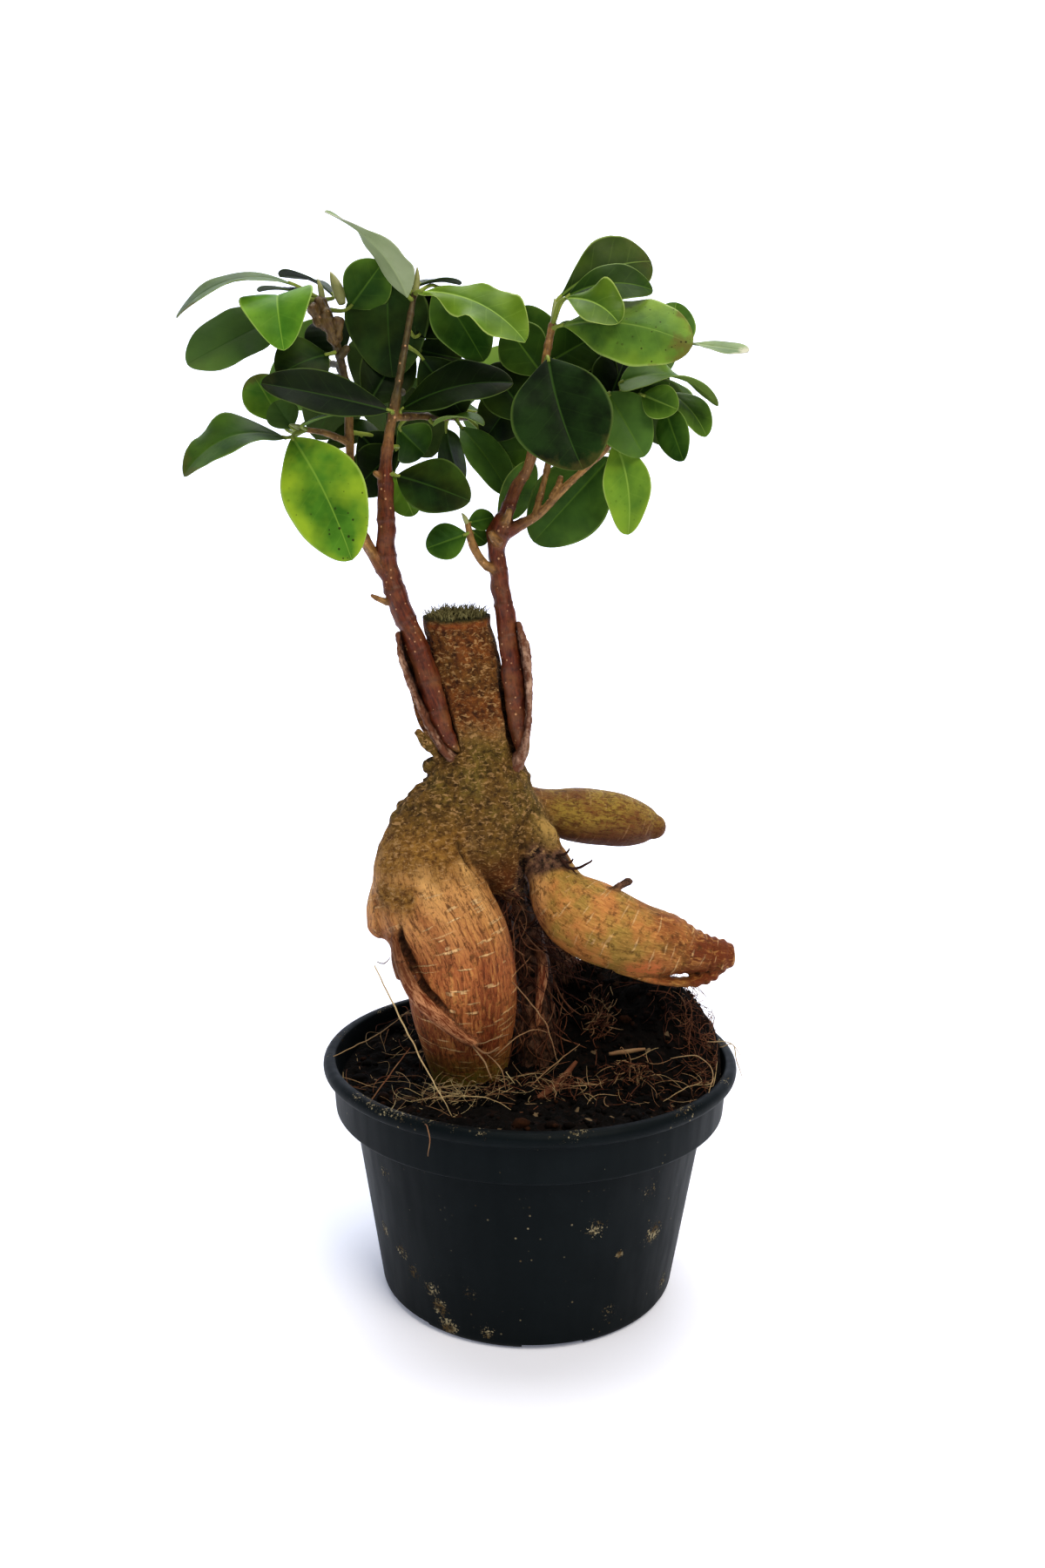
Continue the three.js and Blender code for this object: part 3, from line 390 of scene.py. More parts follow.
# The rootstock: one grown piece of living wood and bark, rooted in the soil. The table gives each
# part of it as rows of x, y, z and its half width and half depth in millimetres, from the cut stump
# down to the buried roots.
ROOTSTOCK = {
    "trunk": [
        (-22.2, -0.8, 194.3, 9.5, 9), (-22, -0.2, 191, 9.3, 8.8), (-20.8, 0, 187.5, 9, 8.6),
        (-19.1, 0, 182.4, 8.6, 8.4),
        (-17.6, 0, 175.4, 8.2, 8.2), (-15, 0, 163, 7.8, 8), (-14, 0, 156, 8.6, 8.6)],
    "neck": [
        (-14, 0, 160, 7.4, 8), (-15.2, 0, 151.5, 13.8, 12), (-15.6, -1, 145.5, 15.4, 13.5),
        (-15, -1, 138, 16.4, 14), (-12.5, -1, 130.5, 13, 12.5), (-9, 0, 122, 7.5, 9), (-6, 0, 115, 3.2, 6)],
    "leg": [
        (-19.5, -1, 143, 11, 11), (-24, -4, 137.5, 12.6, 12), (-29.5, -7, 131, 12.4, 12.5),
        (-30.2, -10, 123, 14.6, 14), (-27.6, -12, 114, 16.4, 15.5), (-24, -13, 108, 16, 16),
        (-21.4, -13, 101.5, 15.8, 16), (-19.8, -13, 93, 15.5, 15.5), (-18.6, -11, 83, 14.8, 14),
        (-18.1, -8, 72, 12.8, 12), (-16.8, -5, 60, 10.2, 10), (-14, -3, 46, 6.5, 6.5),
        (-11, 0, 30, 4, 4), (-8, 2, 14, 2, 2)],
    "leg_bulge": [
        (-40.2, -9, 123, 3.8, 6), (-40.9, -10, 117, 4.6, 6.8), (-41.2, -12, 112.5, 5.1, 7),
        (-41.6, -13, 108.8, 4.6, 6.4)],
    "leg_flap": [
        (-38, -16, 105, 1.5, 2.6), (-37.4, -18, 99.6, 1.5, 3), (-36.4, -19, 95.4, 1, 2.4)],
    "right_tuber": [
        (-4, 0, 139, 7, 8), (0, -2, 132, 6.6, 7), (3.5, -3, 126, 6.2, 6.5), (5.6, -5, 121.4, 7, 7),
        (8.5, -8, 116, 9.2, 9), (14, -11, 111.6, 11, 10.5), (21.6, -14, 108.5, 11, 10.5),
        (30, -15, 106, 9.9, 9.5), (37.3, -15, 104.6, 8.6, 8), (43.4, -15, 103, 6.5, 6),
        (48.6, -14, 101.9, 4.9, 4.8), (52.6, -14, 101.4, 4.4, 4.4)],
    "tuber_peel": [
        (24, -16, 97.4, 1.2, 2.2), (31, -17, 95.6, 1.3, 2.4), (38, -17, 94.5, 1.2, 2.4),
        (45, -16.5, 94.5, 1.4, 2.4), (50.2, -15, 96.2, 1.9, 2.6), (52, -14.5, 98.6, 2.4, 2.8)],
    "finger_tuber": [
        (-4.5, 4, 141.4, 5, 5), (2, 7, 139, 6, 6), (8.4, 9, 137.2, 7.5, 7.2), (15, 11, 136, 8.2, 8),
        (23, 13, 135, 8.2, 7.8), (29.6, 15, 133.6, 7.2, 7), (34.4, 16, 132.5, 5.4, 5.2),
        (36.4, 16, 132, 3.9, 3.9)],
    "rear_root": [
        (-12, 6, 131, 9, 8), (-9, 13, 119, 8.5, 8.5), (-6, 18, 104, 8.6, 8.6), (-4, 20, 89, 7.5, 7.5),
        (-2, 20, 70, 5.5, 5.5), (0, 18, 45, 3.2, 3.2), (2, 14, 22, 1.8, 1.8)],
    "root_fibres": [
        (-5.3, 0, 118, 3.6), (-2, 2, 105.5, 4.2), (0.6, 1, 90, 5.2), (1.8, -2, 75.5, 6.2),
        (3, -3, 60, 6.2), (5, -2, 40, 4), (8, 0, 20, 2)],
    "red_root": [(2.4, -3, 101, 1.3), (3.4, -7, 93, 1.5), (2.2, -8.5, 84, 1.3), (2.2, -7, 76, 1.2)],
    "side_root": [
        (-37, -24.4, 107.5, 1.6), (-35, -26.8, 101, 1.9), (-32, -27.6, 94.8, 2.1),
        (-28.2, -28, 90, 2.1), (-23.6, -27.6, 85.4, 2), (-19.4, -26, 81.4, 1.8),
        (-15.2, -24.4, 78.4, 1.5)],
    "rear_shoulder": [(3, 16, 98, 2.5), (6, 20, 92, 4.5), (9, 22, 86, 6.5), (12, 24, 78, 8)],
    "left_lip": [(-20, -2, 157, 4, 6), (-23.5, -2, 168, 4, 5.5), (-27, -2, 178, 3.2, 4.6),
                 (-29.4, -2, 186, 1.6, 3)],
    "right_lip": [(-9.5, -2, 157, 3.6, 6), (-10.4, -2, 168, 3.2, 5.5), (-11.6, -2, 178, 2.6, 4.6),
                  (-12.6, -2, 186, 1.5, 3)],
    "right_bark": [(-4.4, 0, 156, 3.2, 3.4), (-4.2, 0, 168, 3, 2.2), (-4, -1, 179, 2.6, 1.6),
                   (-3.6, -2, 187, 1.6, 1)],
    "left_bark": [(-26, 0, 156, 3.2, 3.4), (-31, -1, 168, 3, 2.2), (-34.6, -2, 179, 2.4, 1.6),
                  (-37, -3, 186, 1.5, 1), (-37.2, -3.5, 189, 1.4, 1)],
    "neck_knob": [(-25, -3, 150, 3), (-29, -4, 152.4, 2.6)],
    "right_knob": [(0, -4, 135.6, 3), (3.6, -7.5, 135.2, 2.5), (4.8, -7, 132.4, 2)],
    "cut_twig": [(-25.5, -6, 154, 1.3), (-29, -9, 158, 1.2), (-32.5, -11, 162.2, 1.1)],
    "tuber_twig": [(20, -14.5, 117.5, 1.2, 1), (23.4, -14.5, 120.4, 1, 0.8), (26.6, -14.5, 122.4, 1, 0.7)],
}
FRONT = np.array([0.0, -1.0, 0.0])


def smooth_path(rows, step):
    """Rows of x, y, z and sizes, joined by a smooth curve with a row about every step millimetres."""
    rows = np.array([row if len(row) == 5 else (*row, row[3]) for row in rows], float)
    rows = np.vstack([2 * rows[0] - rows[1], rows, 2 * rows[-1] - rows[-2]])
    path = []
    for before, start, end, after in zip(rows, rows[1:], rows[2:], rows[3:]):
        count = max(1, round(float(np.linalg.norm((end - start)[:3])) / step))
        for t in np.arange(count) / count:
            path.append(0.5 * (2 * start + (end - before) * t
                               + (2 * before - 5 * start + 4 * end - after) * t ** 2
                               + (3 * start - before - 3 * end + after) * t ** 3))
    path.append(rows[-2])
    return np.array(path)


def unit(vector):
    """The vector with a length of 1."""
    return vector / np.linalg.norm(vector)


def limb(rows, sides, step, flat_start=False):
    """A closed limb: points, faces, and its frames (centre, along, side, deep, size, distance)."""
    path = smooth_path(rows, step)
    centres, wide, thick = path[:, :3], path[:, 3], path[:, 4]
    heading = np.gradient(centres, axis=0)
    distance = 0
    frames = []
    side = None
    for i, centre in enumerate(centres):
        along = unit(heading[i])
        if side is None:
            side = np.array([0, 0, 1.0]) if abs(along[1]) > 0.9 else np.cross(along, FRONT)
        side = unit(side - along * (side @ along))
        distance += np.linalg.norm(centre - centres[i - 1]) if i else 0
        frames.append((centre, along, side, np.cross(along, side), wide[i], thick[i], distance))
    turns = [2 * math.pi * k / sides for k in range(sides)]
    rings = []

    def ring(frame, shift=0, shrink=1):
        centre, along, side, deep, half_width, half_depth, _ = frame
        rings.append([centre + along * shift + side * (half_width * shrink * math.cos(a))
                      + deep * (half_depth * shrink * math.sin(a)) for a in turns])

    dome = [(math.sin(math.radians(angle)), math.cos(math.radians(angle))) for angle in (17, 35, 55, 75)]
    if not flat_start:
        for high, shrink in dome[::-1]:
            ring(frames[0], -min(wide[0], thick[0]) * high, shrink)
    for frame in frames:
        ring(frame)
    for high, shrink in dome:
        ring(frames[-1], min(wide[-1], thick[-1]) * high, shrink)
    points = [point for one in rings for point in one]
    faces = []
    for i in range(len(rings) - 1):
        faces += bridge(i * sides, (i + 1) * sides, sides)
    faces.append(tuple(range(sides))[::-1])
    faces.append(tuple(range((len(rings) - 1) * sides, len(rings) * sides)))
    return points, faces, frames


def fused(limbs, voxel):
    """Melts overlapping closed limbs into one skin of even squares, as points and faces."""
    points, faces = [], []
    for shape in limbs:
        faces += [tuple(index + len(points) for index in face) for face in shape[1]]
        points += list(shape[0])
    thing = solid("limbs", points, faces, scale=1)
    melt = thing.modifiers.new("melt", "REMESH")
    melt.mode = "VOXEL"
    melt.voxel_size = voxel
    skin = bpy.data.meshes.new_from_object(thing.evaluated_get(bpy.context.evaluated_depsgraph_get()))
    places = np.zeros(len(skin.vertices) * 3)
    skin.vertices.foreach_get("co", places)
    shown = [tuple(polygon.vertices) for polygon in skin.polygons]
    bpy.data.objects.remove(thing)
    return places.reshape(-1, 3), shown


class Skin:
    """A fused skin's points, with what is needed to ease and displace them."""

    def __init__(self, points, faces, limbs):
        self.points = points
        self.faces = faces
        quads = np.array([face if len(face) == 4 else (*face, face[0]) for face in faces])
        self.quads = quads
        edges = np.vstack([quads[:, [k, (k + 1) % 4]] for k in range(4)])
        self.edges = edges[edges[:, 0] != edges[:, 1]]
        self.degree = np.bincount(self.edges.ravel(), minlength=len(points))
        self.find_limbs(limbs)

    def average(self, values):
        """Each point's mean over its neighbours, of numbers or of rows."""
        values = np.asarray(values, float)
        if values.ndim == 2:
            return np.stack([self.average(column) for column in values.T], axis=1)
        a, b = self.edges.T
        total = np.bincount(a, values[b], len(values)) + np.bincount(b, values[a], len(values))
        return total / self.degree

    def ease(self, times, share=0.6):
        """Smooths the points, each second time outwards so that thin limbs don't shrink."""
        for _ in range(times):
            self.points = self.points + share * (self.average(self.points) - self.points)
            self.points = self.points - 0.9 * share * (self.average(self.points) - self.points)

    def normals(self):
        """The outward direction at each point."""
        corners = self.points[self.quads]
        faces = np.cross(corners[:, 2] - corners[:, 0], corners[:, 3] - corners[:, 1])
        total = np.stack([sum(np.bincount(self.quads[:, k], faces[:, axis], len(self.points))
                              for k in range(4)) for axis in range(3)], axis=1)
        return total / np.maximum(1e-12, np.linalg.norm(total, axis=1))[:, None]

    def find_limbs(self, limbs):
        """For each point, its limb, and its place across and along that limb in millimetres."""
        owners = np.array([i for i, shape in enumerate(limbs) for _ in shape[2]])
        frames = [frame for shape in limbs for frame in shape[2]]
        centres, along, side, deep = (np.array([frame[k] for frame in frames]) for k in range(4))
        wide, thick, distance = (np.array([frame[k] for frame in frames]) for k in (4, 5, 6))
        nearest = []
        batch = 4000  # points at a time, to spare memory
        for start in range(0, len(self.points), batch):
            part = self.points[start:start + batch]
            gaps = np.linalg.norm(part[:, None] - centres[None], axis=2) - np.minimum(wide, thick)
            nearest.append(gaps.argmin(axis=1))
        nearest = np.concatenate(nearest)
        offset = self.points - centres[nearest]
        self.owner = owners[nearest]
        self.girth = wide[nearest]
        self.grain = np.stack([(offset * side[nearest]).sum(1), (offset * deep[nearest]).sum(1),
                               distance[nearest] + (offset * along[nearest]).sum(1)], axis=1)

    def blend(self, chosen, times):
        """A mask that is 1 on the chosen points and fades over its border."""
        mask = np.asarray(chosen, float)
        for _ in range(times):
            mask = self.average(mask)
        return mask

    def push(self, amount):
        """Moves each point outwards by its own amount, in millimetres."""
        self.points = self.points + self.normals() * np.asarray(amount)[:, None]

    def hollows(self, times):
        """How far each point lies in a crease, in millimetres."""
        eased = self.points
        for _ in range(times):
            eased = self.average(eased)
        return ((eased - self.points) * self.normals()).sum(axis=1)


def ripple_at(places, size, seed):
    """Smooth noise between -1 and 1 at each place, with swells of about that size."""
    shift = Vector((seed * 17.3, seed * 7.1, seed * 3.7))
    return np.array([noise.noise(Vector(place) / size + shift) for place in places])


def store(thing, **values):
    """Saves numbers or triples on a piece's points, for its finish to read."""
    for name, value in values.items():
        value = np.asarray(value, float)
        kind = "FLOAT_VECTOR" if value.ndim == 2 else "FLOAT"
        attribute = thing.data.attributes.new(name, kind, "POINT")
        attribute.data.foreach_set("vector" if value.ndim == 2 else "value", value.ravel())


ROOT_VOXEL = 0.62
ROOT_SIDES = 28
ROOT_STEP = 1.2
LIMB_NAMES = list(ROOTSTOCK)
root_limbs = [limb(rows, ROOT_SIDES, ROOT_STEP, name == "trunk") for name, rows in ROOTSTOCK.items()]
points, faces = fused(root_limbs, ROOT_VOXEL)
root = Skin(points, faces, root_limbs)
root.ease(3)

# Where the two grafted stems run, which the rootstock's bark opens for
LEFT_STEM = [
    (-20.9, -6, 156.4, 0.5, 0.8), (-23.4, -6.6, 159.4, 1.9, 1.4), (-25.7, -6.5, 163.6, 2.7, 2),
    (-27.4, -6.2, 168.9, 3.1, 2.4), (-29.6, -6, 176, 3.2, 2.7), (-33, -6, 186, 2.9, 2.8),
    (-36.4, -6, 194, 2.7, 2.8),
    (-39.3, -6, 202, 2.6), (-41, -6, 209.6, 2.5), (-41.1, -7, 219, 2.3), (-41.2, -8, 228, 2),
    (-40.9, -9, 234.6, 1.6), (-39.4, -10, 244, 1.2), (-38.4, -10, 248.7, 1.3), (-37.3, -10, 254.7, 1),
    (-36, -9, 262.7, 0.85), (-34.7, -8, 270.6, 0.8), (-33.4, -7, 278, 0.75)]
RIGHT_STEM = [
    (-3.8, -5, 158, 1.5), (-4.4, -5.5, 161.5, 2.2), (-5.5, -5.5, 172, 2.9, 2.6), (-7, -5.5, 183, 2.7),
    (-8.9, -5.5, 196, 2.5), (-10.4, -5, 205, 2.3), (-11.2, -5, 212, 2.3), (-10.3, -5, 217, 3.2, 2.8),
    (-9.4, -5, 220, 2.5)]


# Creases of the skin: the seam where the leg left the neck, the groove along the root that clings
# to the leg, a shallow line under it, and the shadowed edge under the leg's overhang
CREASES = [
    # points along it, width, depth
    ([(-20.9, -15.7, 133.6), (-17.8, -15.2, 126.7), (-13.9, -14.1, 121.3), (-10.2, -11.5, 115.6)], 0.9, 1.2),
    ([(-37.4, -24, 114), (-36.2, -25.4, 111.5), (-35.1, -25.2, 107.7), (-33.1, -25.8, 102.5),
      (-29.3, -26.6, 95.7), (-24.7, -27.2, 91.1), (-19.8, -25.7, 85.6)], 0.85, 1.7),
    ([(-30.5, -28, 91.7), (-27.7, -25.8, 85.8), (-22.1, -25.3, 81.3), (-15.8, -23.3, 77.2),
      (-11.6, -20.6, 74.9)], 0.6, 0.5),
    ([(-37, -21.5, 106), (-36, -23.4, 100), (-34.4, -24.4, 94), (-32.6, -24.6, 88)], 0.7, 1.1),
    ([(-42, -16, 103.5), (-39.5, -20, 104.5), (-37.6, -23, 108.5)], 0.9, 1.4),
    ([(-41.5, -19.2, 120.7), (-36.8, -23.7, 120.9), (-31.3, -24.6, 121.6)], 0.5, 0.4),
    ([(-42.4, -17.9, 117.5), (-37.5, -23.6, 118), (-33.1, -24.8, 118.3)], 0.5, 0.5),
    ([(-40.7, -20.3, 114.7), (-35.9, -24.8, 115.4), (-32.1, -25.9, 116.7)], 0.5, 0.5),
    ([(10.2, -14.6, 121.8), (20.8, -17.5, 119.2), (31.3, -20, 114.3), (40.8, -20.5, 109)], 0.7, 0.25),
]


def on_limb(*names):
    """True for the points that belong to these limbs of the rootstock."""
    return np.isin(root.owner, [LIMB_NAMES.index(name) for name in names])


def nearness(rows, width):
    """1 on a line through the rows, and fading over its width, for each point of the rootstock."""
    rows = np.array(rows, float)
    above, below = root.points > rows.min(axis=0) - 3 * width, root.points < rows.max(axis=0) + 3 * width
    close = (above & below).all(1)
    value = np.zeros(len(root.points))
    line = smooth_path([(*row[:3], 1) for row in rows], 0.7)[:, :3]
    gaps = np.linalg.norm(root.points[close][:, None] - line[None], axis=2)
    nearest, gaps = gaps.argmin(axis=1), gaps.min(axis=1)
    t = nearest / (len(line) - 1)
    value[close] = np.exp(-(gaps / width) ** 2) * (6 * np.minimum(t, 1 - t) + 0.15).clip(0, 1)
    return value


along = root.grain[:, 2]
height = root.points[:, 2]
right = root.points[:, 0]
swell = ripple_at(root.points, 14, 1)
patches = ripple_at(root.points, 6, 12)
lumps = ripple_at(root.points, 4.2, 2)
STUMP_TOP = np.array([-22.2, -0.8, 194.3])
STUMP_TILT = np.array([0.06, 0.18])  # the felled face leans a little to the left and to the front
STUMP_LIMBS = ("trunk", "left_lip", "right_lip", "left_bark", "right_bark")
NECK_TOP = 158
# Which part of the rootstock each point belongs to, from 0 to 1
trunk = root.blend(on_limb(*STUMP_LIMBS) & (height > NECK_TOP), 24)
neck = root.blend(on_limb("neck", "neck_knob", "right_knob", "cut_twig")
                  | (on_limb(*STUMP_LIMBS) & (height <= NECK_TOP))
                  | (on_limb("right_tuber") & (height > 128)) | (on_limb("leg") & (height > 136)), 50)
neck = (neck + 1.6 * patches * neck * (1 - neck)).clip(0, 1)
leg = root.blend(on_limb("leg", "leg_bulge"), 20)
corky = leg * ((height - 121 + 7 * patches) / 8).clip(0, 1)
ledge = nearness([(-42, -17, 119.5), (-38, -23, 119), (-31, -27, 118.5)], 4.5)
corky = np.maximum(corky, leg * ledge).clip(0, 1)
finger = root.blend(on_limb("finger_tuber"), 14)
tuber = root.blend(on_limb("right_tuber", "tuber_peel") & (right > 4), 14)
fibrous = root.blend(on_limb("root_fibres", "rear_root", "rear_shoulder", "tuber_twig"), 5)
torn_edge = nearness([(13, -6, 127), (8.8, -8, 128), (4, -9.4, 128), (0.3, -9, 126), (-2.9, -6, 121),
                      (-5, -5, 112)], 4.6)
fibrous = np.maximum(fibrous, ((2.6 * torn_edge - 0.9 + 1.6 * patches) * (torn_edge > 0.2)).clip(0, 1))
loose = root.blend(on_limb("side_root", "leg_flap", "red_root"), 4)
knob = root.blend(on_limb("right_knob"), 6)
corky = np.maximum(corky, knob)
below_top = STUMP_TOP[2] + (root.points[:, :2] - STUMP_TOP[:2]) @ STUMP_TILT - height
cut = root.blend((below_top < 0.8) & on_limb("trunk"), 2)
rim_zone = trunk * ((3.2 - below_top) / 1.4).clip(0, 1) * (1 - cut)
smooth_skin = (1 - neck - trunk).clip(0, 1)

# The stump's bark is open along the two stems
stem_rows = np.vstack([smooth_path(LEFT_STEM, 0.8), smooth_path(RIGHT_STEM, 0.8)])
stem_rows = stem_rows[stem_rows[:, 2] < 197]
near = (height > 150) & (trunk + neck > 0.1)
groove = np.zeros(len(root.points))
gaps = np.linalg.norm(root.points[near][:, None] - stem_rows[None, :, :3], axis=2) - stem_rows[:, 3]
groove[near] = np.clip((1.5 - gaps.min(axis=1)) / 1.5, 0, 1.2)
groove = root.blend(groove, 2)

# The relief, in millimetres: swells, wrinkles along the grain, warts on the neck, rings on the tuber
warts = np.maximum(0, ripple_at(root.points, 2.3, 3)) ** 2
wrinkles = ripple_at(root.grain * (1, 1, 0.16), 2.4, 4)
folds = ripple_at(root.grain * (1, 1, 0.1), 8, 5)
rings = np.sin(along * 2.4 + 2.2 * ripple_at(root.points, 5, 6)) * tuber * ((right - 34) / 14).clip(0, 1)
relief = 0.45 * swell + 0.1 * lumps + 0.26 * rings
relief += neck * (0.7 * lumps + 1.5 * warts) + trunk * (0.35 * lumps + 0.3 * wrinkles)
relief += corky * (0.5 * warts + 0.25 * lumps)
gathers = nearness([(-43, -15, 118), (-38, -23, 117.5), (-30, -27.5, 118)], 4.6)
relief -= 0.9 * gathers * (1 - 3 * np.abs(ripple_at(root.points * (0.3, 0.3, 1), 2.4, 14))).clip(0, 1)
relief += smooth_skin * (0.14 * wrinkles + 0.2 * folds) + fibrous * (0.8 * wrinkles + 0.5 * lumps)
relief -= 1.6 * groove * (1 - 0.5 * cut)
lines = sum(depth * nearness(rows, width) for rows, width, depth in CREASES)
root.push(relief * (1 - 0.8 * cut) - lines)
# Painted shade: how far each point lies in a hollow, in a stem's groove or on a crease line, which the bark's
# finish paints near black
crease_shade = (root.hollows(8) / 0.6 + groove + 0.4 * lines).clip(-1, 1.5)
tail = ((right - 24) / 22 + 0.5 * patches).clip(0, 1) * tuber
wound = 1.5 * nearness([(25, -20, 98), (30, -22, 98.6), (36, -22, 98)], 3) * tuber
damp = ((74 - height) / 9).clip(0, 1) * (1 - fibrous)

# Where each kind of bark lies, and how deep each point lies in a hollow, which is painted as shade. Each
# group is stored as one attribute of three numbers.
ZONE_GROUPS = {
    "upper": {"trunk": trunk, "neck": neck, "finger": finger},
    "lower": {"tuber": tuber, "fibrous": fibrous, "corky": corky},
    "shade_damp_and_tail": {"crease_shade": crease_shade, "damp": damp, "tail": tail},
    "ends": {"cut": cut, "knob": knob, "wound": wound},
}

# Ficus root bark, thin and cured in the open air: orange ochre and satin on the swollen roots,
# streaked along their grain and crossed by pale raised pores; rough, corky and flecked higher up
bark, wire = finish("cured_ficus_root_bark", IOR=1.45, Specular_IOR_Level=0.22)
grain = node(bark, "Attribute", attribute_name="grain", out="Vector")
place = node(bark, "TexCoord", out="Object")
zone = {}
for group, zones in ZONE_GROUPS.items():
    triple = node(bark, "Attribute", attribute_name=group, out="Vector")
    zone.update(zip(zones, node(bark, "SeparateXYZ", {0: triple}).node.outputs))

# Wrinkles under 1 mm wide that run along the grain, whose numbers are millimetres, bands of 6 mm,
# mottling of 2 mm, clouds of 9 mm and cork flecks of 1 mm
stretch = node(bark, "Mapping", {"Vector": grain, "Scale": (1, 1, 0.2)})
streaks = node(bark, "TexNoise", {"Vector": stretch, "Scale": 1 / 0.8333, "Detail": 5, "Roughness": 0.72,
                                  "Distortion": 1})
bands = node(bark, "TexNoise", {"Vector": stretch, "Scale": 1 / 6.25, "Detail": 3})
clouds = node(bark, "TexNoise", {"Vector": place, "Scale": pitch(9.09), "Detail": 5, "Roughness": 0.6})
mottle = node(bark, "TexNoise", {"Vector": place, "Scale": pitch(1.923), "Detail": 5, "Roughness": 0.72})
level = node(bark, "SeparateXYZ", {0: place}, out="Z")
flecks = node(bark, "Mapping", {"Vector": place, "Scale": (0.8, 0.8, 1.5), "Rotation": (0, 0.4, 0)})
flecks = node(bark, "TexNoise", {"Vector": flecks, "Scale": pitch(1.19), "Detail": 2.5, "Distortion": 0.8})

# Masks of the bark's marks: what each follows, where it starts, where it is full, and how strong
MASKS = {
    "cork": (mottle, 0.38, 0.62, 1), "specks": (mottle, 0.47, 0.36, 0.7), "pits": (flecks, 0.42, 0.3, 0.5),
    "fleck": (flecks, 0.54, 0.66, 0.72), "freckle": (flecks, 0.5, 0.4, 0.6), "warmth": (bands, 0.32, 0.68, 1),
    "ruddy": (clouds, 0.42, 0.58, 1), "cloudy": (clouds, 0.36, 0.64, 1), "green": (clouds, 0.46, 0.64, 0.7),
    "light_streak": (streaks, 0.52, 0.62, 0.5), "dark_streak": (streaks, 0.49, 0.4, 0.75),
    "ridge": (streaks, 0.42, 0.58, 1), "low_down": (level, 0.13, 0.1, 1), "purple": (level, 0.136, 0.128, 1),
    "throat": (level, 0.132, 0.122, 1), "worn_top": (level, 0.092, 0.1, 0.7),
    # shade: the painted shade, near black, in those hollows, grooves and creases
    "shade": (zone["crease_shade"], 0.2, 1.1, 0.75),
}
mask = {name: node(bark, "MapRange", {"Value": source, "From Min": start, "From Max": full, "To Max": most})
        for name, (source, start, full, most) in MASKS.items()}
rough = node(bark, "Math", {0: zone["trunk"], 1: zone["neck"]}, operation="ADD")
rough = node(bark, "Math", {0: rough, 1: zone["corky"]}, operation="ADD")
rough = node(bark, "MapRange", {"Value": rough, "From Min": 0.05, "From Max": 0.75})

# Pores: pale raised dashes, 2 to 7 mm long and 0.5 mm high, in rows across the grain
PORE_ROOM = (8, 2.6)  # how much bark each pore has to itself
slope = node(bark, "Mapping", {"Vector": grain, "Rotation": (0, math.radians(-7), 0)})
wobble = node(bark, "TexNoise", {"Vector": grain, "Scale": 1 / 2.222, "Detail": 1}, out="Color")
wobble = node(bark, "VectorMath", {0: wobble, 1: (0.6, 0, 0.6)}, operation="MULTIPLY", out="Vector")
slope = node(bark, "SeparateXYZ", {0: node(bark, "VectorMath", {0: slope, 1: wobble}, out="Vector")})
rows = node(bark, "CombineXYZ", {"X": slope, "Y": slope.node.outputs["Z"]})
rows = node(bark, "VectorMath", {0: rows, 1: (*PORE_ROOM, 1)}, operation="DIVIDE", out="Vector")
pores = node(bark, "TexVoronoi", {"Vector": rows, "Scale": 1}, voronoi_dimensions="2D").node.outputs
chance = node(bark, "SeparateColor", {0: pores["Color"]}).node.outputs
reach = node(bark, "MapRange", {"Value": chance["Red"], "To Min": 0.8, "To Max": 4.2})
offset = node(bark, "VectorMath", {0: rows, 1: pores["Position"]}, operation="SUBTRACT", out="Vector")
offset = node(bark, "VectorMath", {0: offset, 1: (*PORE_ROOM, 0)}, operation="MULTIPLY", out="Vector")
size = node(bark, "CombineXYZ", {"X": reach, "Y": 0.31, "Z": 1})
offset = node(bark, "VectorMath", {0: offset, 1: size}, operation="DIVIDE", out="Vector")
pore = node(bark, "VectorMath", {0: offset}, operation="LENGTH", out="Value")
pore = node(bark, "MapRange", {"Value": pore, "From Min": 1, "From Max": 0.5})
bare = node(bark, "Math", {0: rough, 1: zone["fibrous"]}, operation="ADD")
bare = node(bark, "MapRange", {"Value": bare, "From Max": 0.8, "To Min": 1, "To Max": 0})
broken = node(bark, "MapRange", {"Value": streaks, "From Min": 0.36, "From Max": 0.52, "To Min": 0.45})
shown = node(bark, "MapRange", {"Value": chance["Green"], "From Min": 0.15, "From Max": 0.4})
plain = node(bark, "Math", {0: zone["tuber"], 1: 0.5, 2: zone["finger"]}, operation="MULTIPLY_ADD")
plain = node(bark, "MapRange", {"Value": plain, "To Min": 1, "To Max": 0.15})
for share in (bare, broken, shown, plain):
    pore = node(bark, "Math", {0: pore, 1: share}, operation="MULTIPLY")

# Cork flecks, thick on the neck and the stump and thinner on the shoulder of the leg
fleck = node(bark, "Math", {0: mask["fleck"], 1: rough}, operation="MULTIPLY")
pits = node(bark, "Math", {0: mask["pits"], 1: rough}, operation="MULTIPLY")

# The swollen roots: gold ochre at the shoulder and redder towards the soil, olive on the tubers
high = node(bark, "MixRGB", {"Fac": mask["warmth"], "Color1": "#b07a44", "Color2": "#e0b674"})
low = node(bark, "MixRGB", {"Fac": mask["warmth"], "Color1": "#824225", "Color2": "#b57041"})
tuber_olive = node(bark, "MixRGB", {"Fac": mask["ruddy"], "Color1": "#a0823f", "Color2": "#bd8046"})
finger_skin = node(bark, "MixRGB", {"Fac": mask["cloudy"], "Color1": "#7c5a2c", "Color2": "#a38c3c"})
finger_skin = node(bark, "MixRGB", {"Fac": mask["freckle"], "Color1": finger_skin, "Color2": "#6e3c20"})
purple = node(bark, "Math", {0: clouds, 1: 1.2, 2: mask["purple"]}, operation="MULTIPLY_ADD")
purple = node(bark, "MapRange", {"Value": purple, "From Min": 0.6, "From Max": 1.3, "To Max": 0.85})
finger_skin = node(bark, "MixRGB", {"Fac": purple, "Color1": finger_skin, "Color2": "#643826"})
